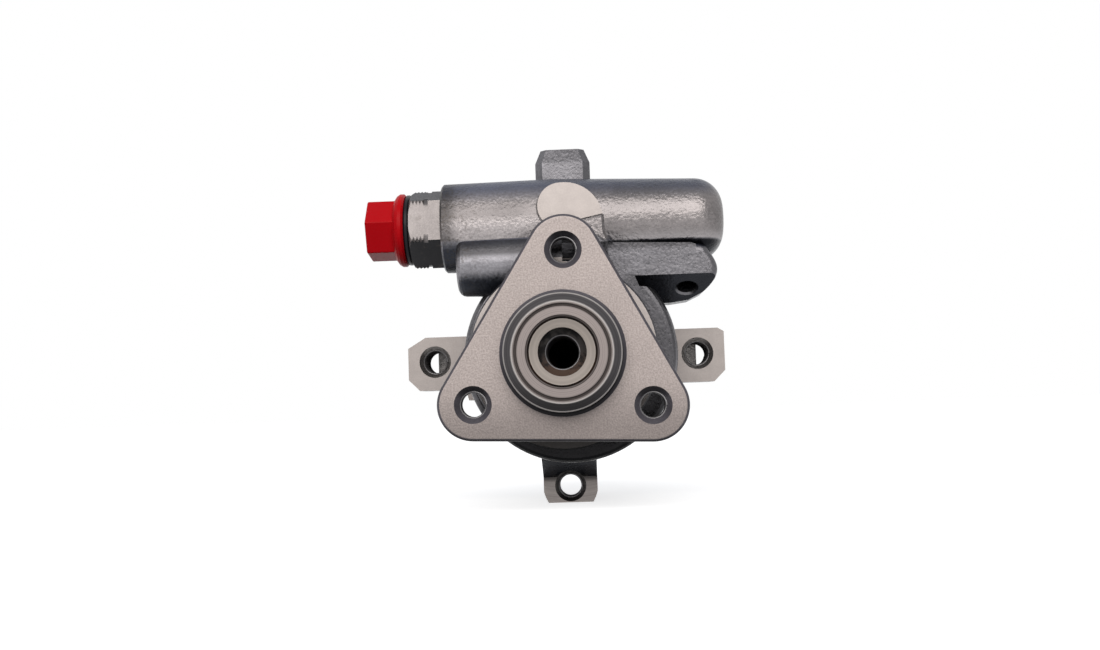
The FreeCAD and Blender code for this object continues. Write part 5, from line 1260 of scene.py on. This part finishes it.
def seen_directly(tree):
    """One for rays that show the background itself: camera, glossy and transmission rays."""
    path = tree.nodes.new("ShaderNodeLightPath").outputs
    total = calculate(tree, "ADD", path["Is Camera Ray"], path["Is Glossy Ray"])
    return calculate(tree, "MINIMUM", calculate(tree, "ADD", total, path["Is Transmission Ray"]), 1.0)


def build_world(settings):
    """Even room light, with white where the background itself is seen."""
    world = bpy.data.worlds.new("studio")
    bpy.context.scene.world = world
    world.use_nodes = True
    tree = world.node_tree
    tint = mix_colours(tree, seen_directly(tree), settings.room, (1.0, 1.0, 1.0))
    feed(tree, tree.nodes["Background"], Color=tint)


def make_pale_floor(settings):
    """Matt floor that casts little light on the pump and shines white where it is seen."""
    made, tree, shader, position = new_material(
        "pale_floor", Roughness=0.9, Specular_IOR_Level=0.0, Emission_Strength=1.0)[:4]
    away = add_node(tree, "ShaderNodeVectorMath", {0: position}, operation="LENGTH").outputs["Value"]
    glow = ramp_between(tree, away, settings.near_glow, settings.far_glow, 0.72, 1.0)
    white = add_node(tree, "ShaderNodeCombineColor", {"Red": glow, "Green": glow, "Blue": glow}).outputs[0]
    seen = seen_directly(tree)
    feed(tree, shader, Base_Color=mix_colours(tree, seen, (0.12, 0.12, 0.12), settings.floor),
         Emission_Color=mix_colours(tree, seen, (0.0, 0.0, 0.0), white))
    return made


def build_floor(settings):
    """A wide floor right under the lowest point of the pump."""
    level = min(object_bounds()[0].z, 0.0)
    reach = settings.floor_reach
    mesh = bpy.data.meshes.new("floor")
    corners = [(-reach, -reach, level), (reach, -reach, level), (reach, reach, level), (-reach, reach, level)]
    mesh.from_pydata(corners, [], [(0, 1, 2, 3)])
    mesh.materials.append(make_pale_floor(settings))
    floor = bpy.data.objects.new("floor", mesh)
    bpy.context.scene.collection.objects.link(floor)
    floor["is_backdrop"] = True


def build_camera(settings):
    """The photo's camera, straight in front and a little below the shaft."""
    data = bpy.data.cameras.new("camera")
    data.sensor_width = 36.0
    data.lens = settings.lens
    data.clip_start = 0.01
    data.clip_end = 20.0
    camera = bpy.data.objects.new("camera", data)
    aim = Matrix.Rotation(settings.camera_roll, 4, "Y")
    aim = aim @ Matrix.Rotation(settings.camera_yaw, 4, "Z")
    aim = aim @ Matrix.Rotation(math.pi / 2 + settings.camera_pitch, 4, "X")
    camera.matrix_world = Matrix.Translation(settings.camera_place) @ aim
    bpy.context.scene.collection.objects.link(camera)
    bpy.context.scene.camera = camera


class PUMP_OT_stage(bpy.types.Operator):
    """Set the camera, the soft light, the room and the floor"""
    bl_idname = "pump.stage"
    bl_label = "Set Stage"

    def execute(self, context):
        settings = context.scene.pump_stage
        context.scene.view_settings.view_transform = "Standard"
        build_camera(settings)
        build_world(settings)
        build_floor(settings)
        build_light(settings)
        return {"FINISHED"}


# Add-on

SETTINGS = {
    "pump_casting": CastingSettings,
    "pump_flange": FlangeSettings,
    "pump_fitting": FittingSettings,
    "pump_plug": PlugSettings,
    "pump_threads": ThreadSettings,
    "pump_inner": InnerSettings,
    "pump_springs": SpringSettings,
    "pump_stage": StageSettings,
}
STEPS = (PUMP_OT_casting, PUMP_OT_flange, PUMP_OT_fitting, PUMP_OT_plug, PUMP_OT_threads, PUMP_OT_springs,
         PUMP_OT_inner_parts, PUMP_OT_stage)


class PUMP_PT_panel(bpy.types.Panel):
    """Steps and settings of the pump"""
    bl_idname = "PUMP_PT_panel"
    bl_label = "Steering Pump"
    bl_space_type = "VIEW_3D"
    bl_region_type = "UI"
    bl_category = "Pump"

    def draw(self, context):
        for step in STEPS:
            self.layout.operator(step.bl_idname)
        for name in SETTINGS:
            box = self.layout.box()
            group = getattr(context.scene, name)
            box.label(text=group.bl_rna.description)
            for setting in group.bl_rna.properties:
                if setting.identifier not in ("rna_type", "name"):
                    box.prop(group, setting.identifier)


def register():
    for name, group in SETTINGS.items():
        bpy.utils.register_class(group)
        setattr(bpy.types.Scene, name, PointerProperty(type=group))
    for step in STEPS:
        bpy.utils.register_class(step)
    bpy.utils.register_class(PUMP_PT_panel)


def unregister():
    bpy.utils.unregister_class(PUMP_PT_panel)
    for step in reversed(STEPS):
        bpy.utils.unregister_class(step)
    for name, group in SETTINGS.items():
        delattr(bpy.types.Scene, name)
        bpy.utils.unregister_class(group)


def main():
    register()
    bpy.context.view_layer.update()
    for step in STEPS:
        group, name = step.bl_idname.split(".")
        getattr(getattr(bpy.ops, group), name)()


if __name__ == "__main__":
    main()
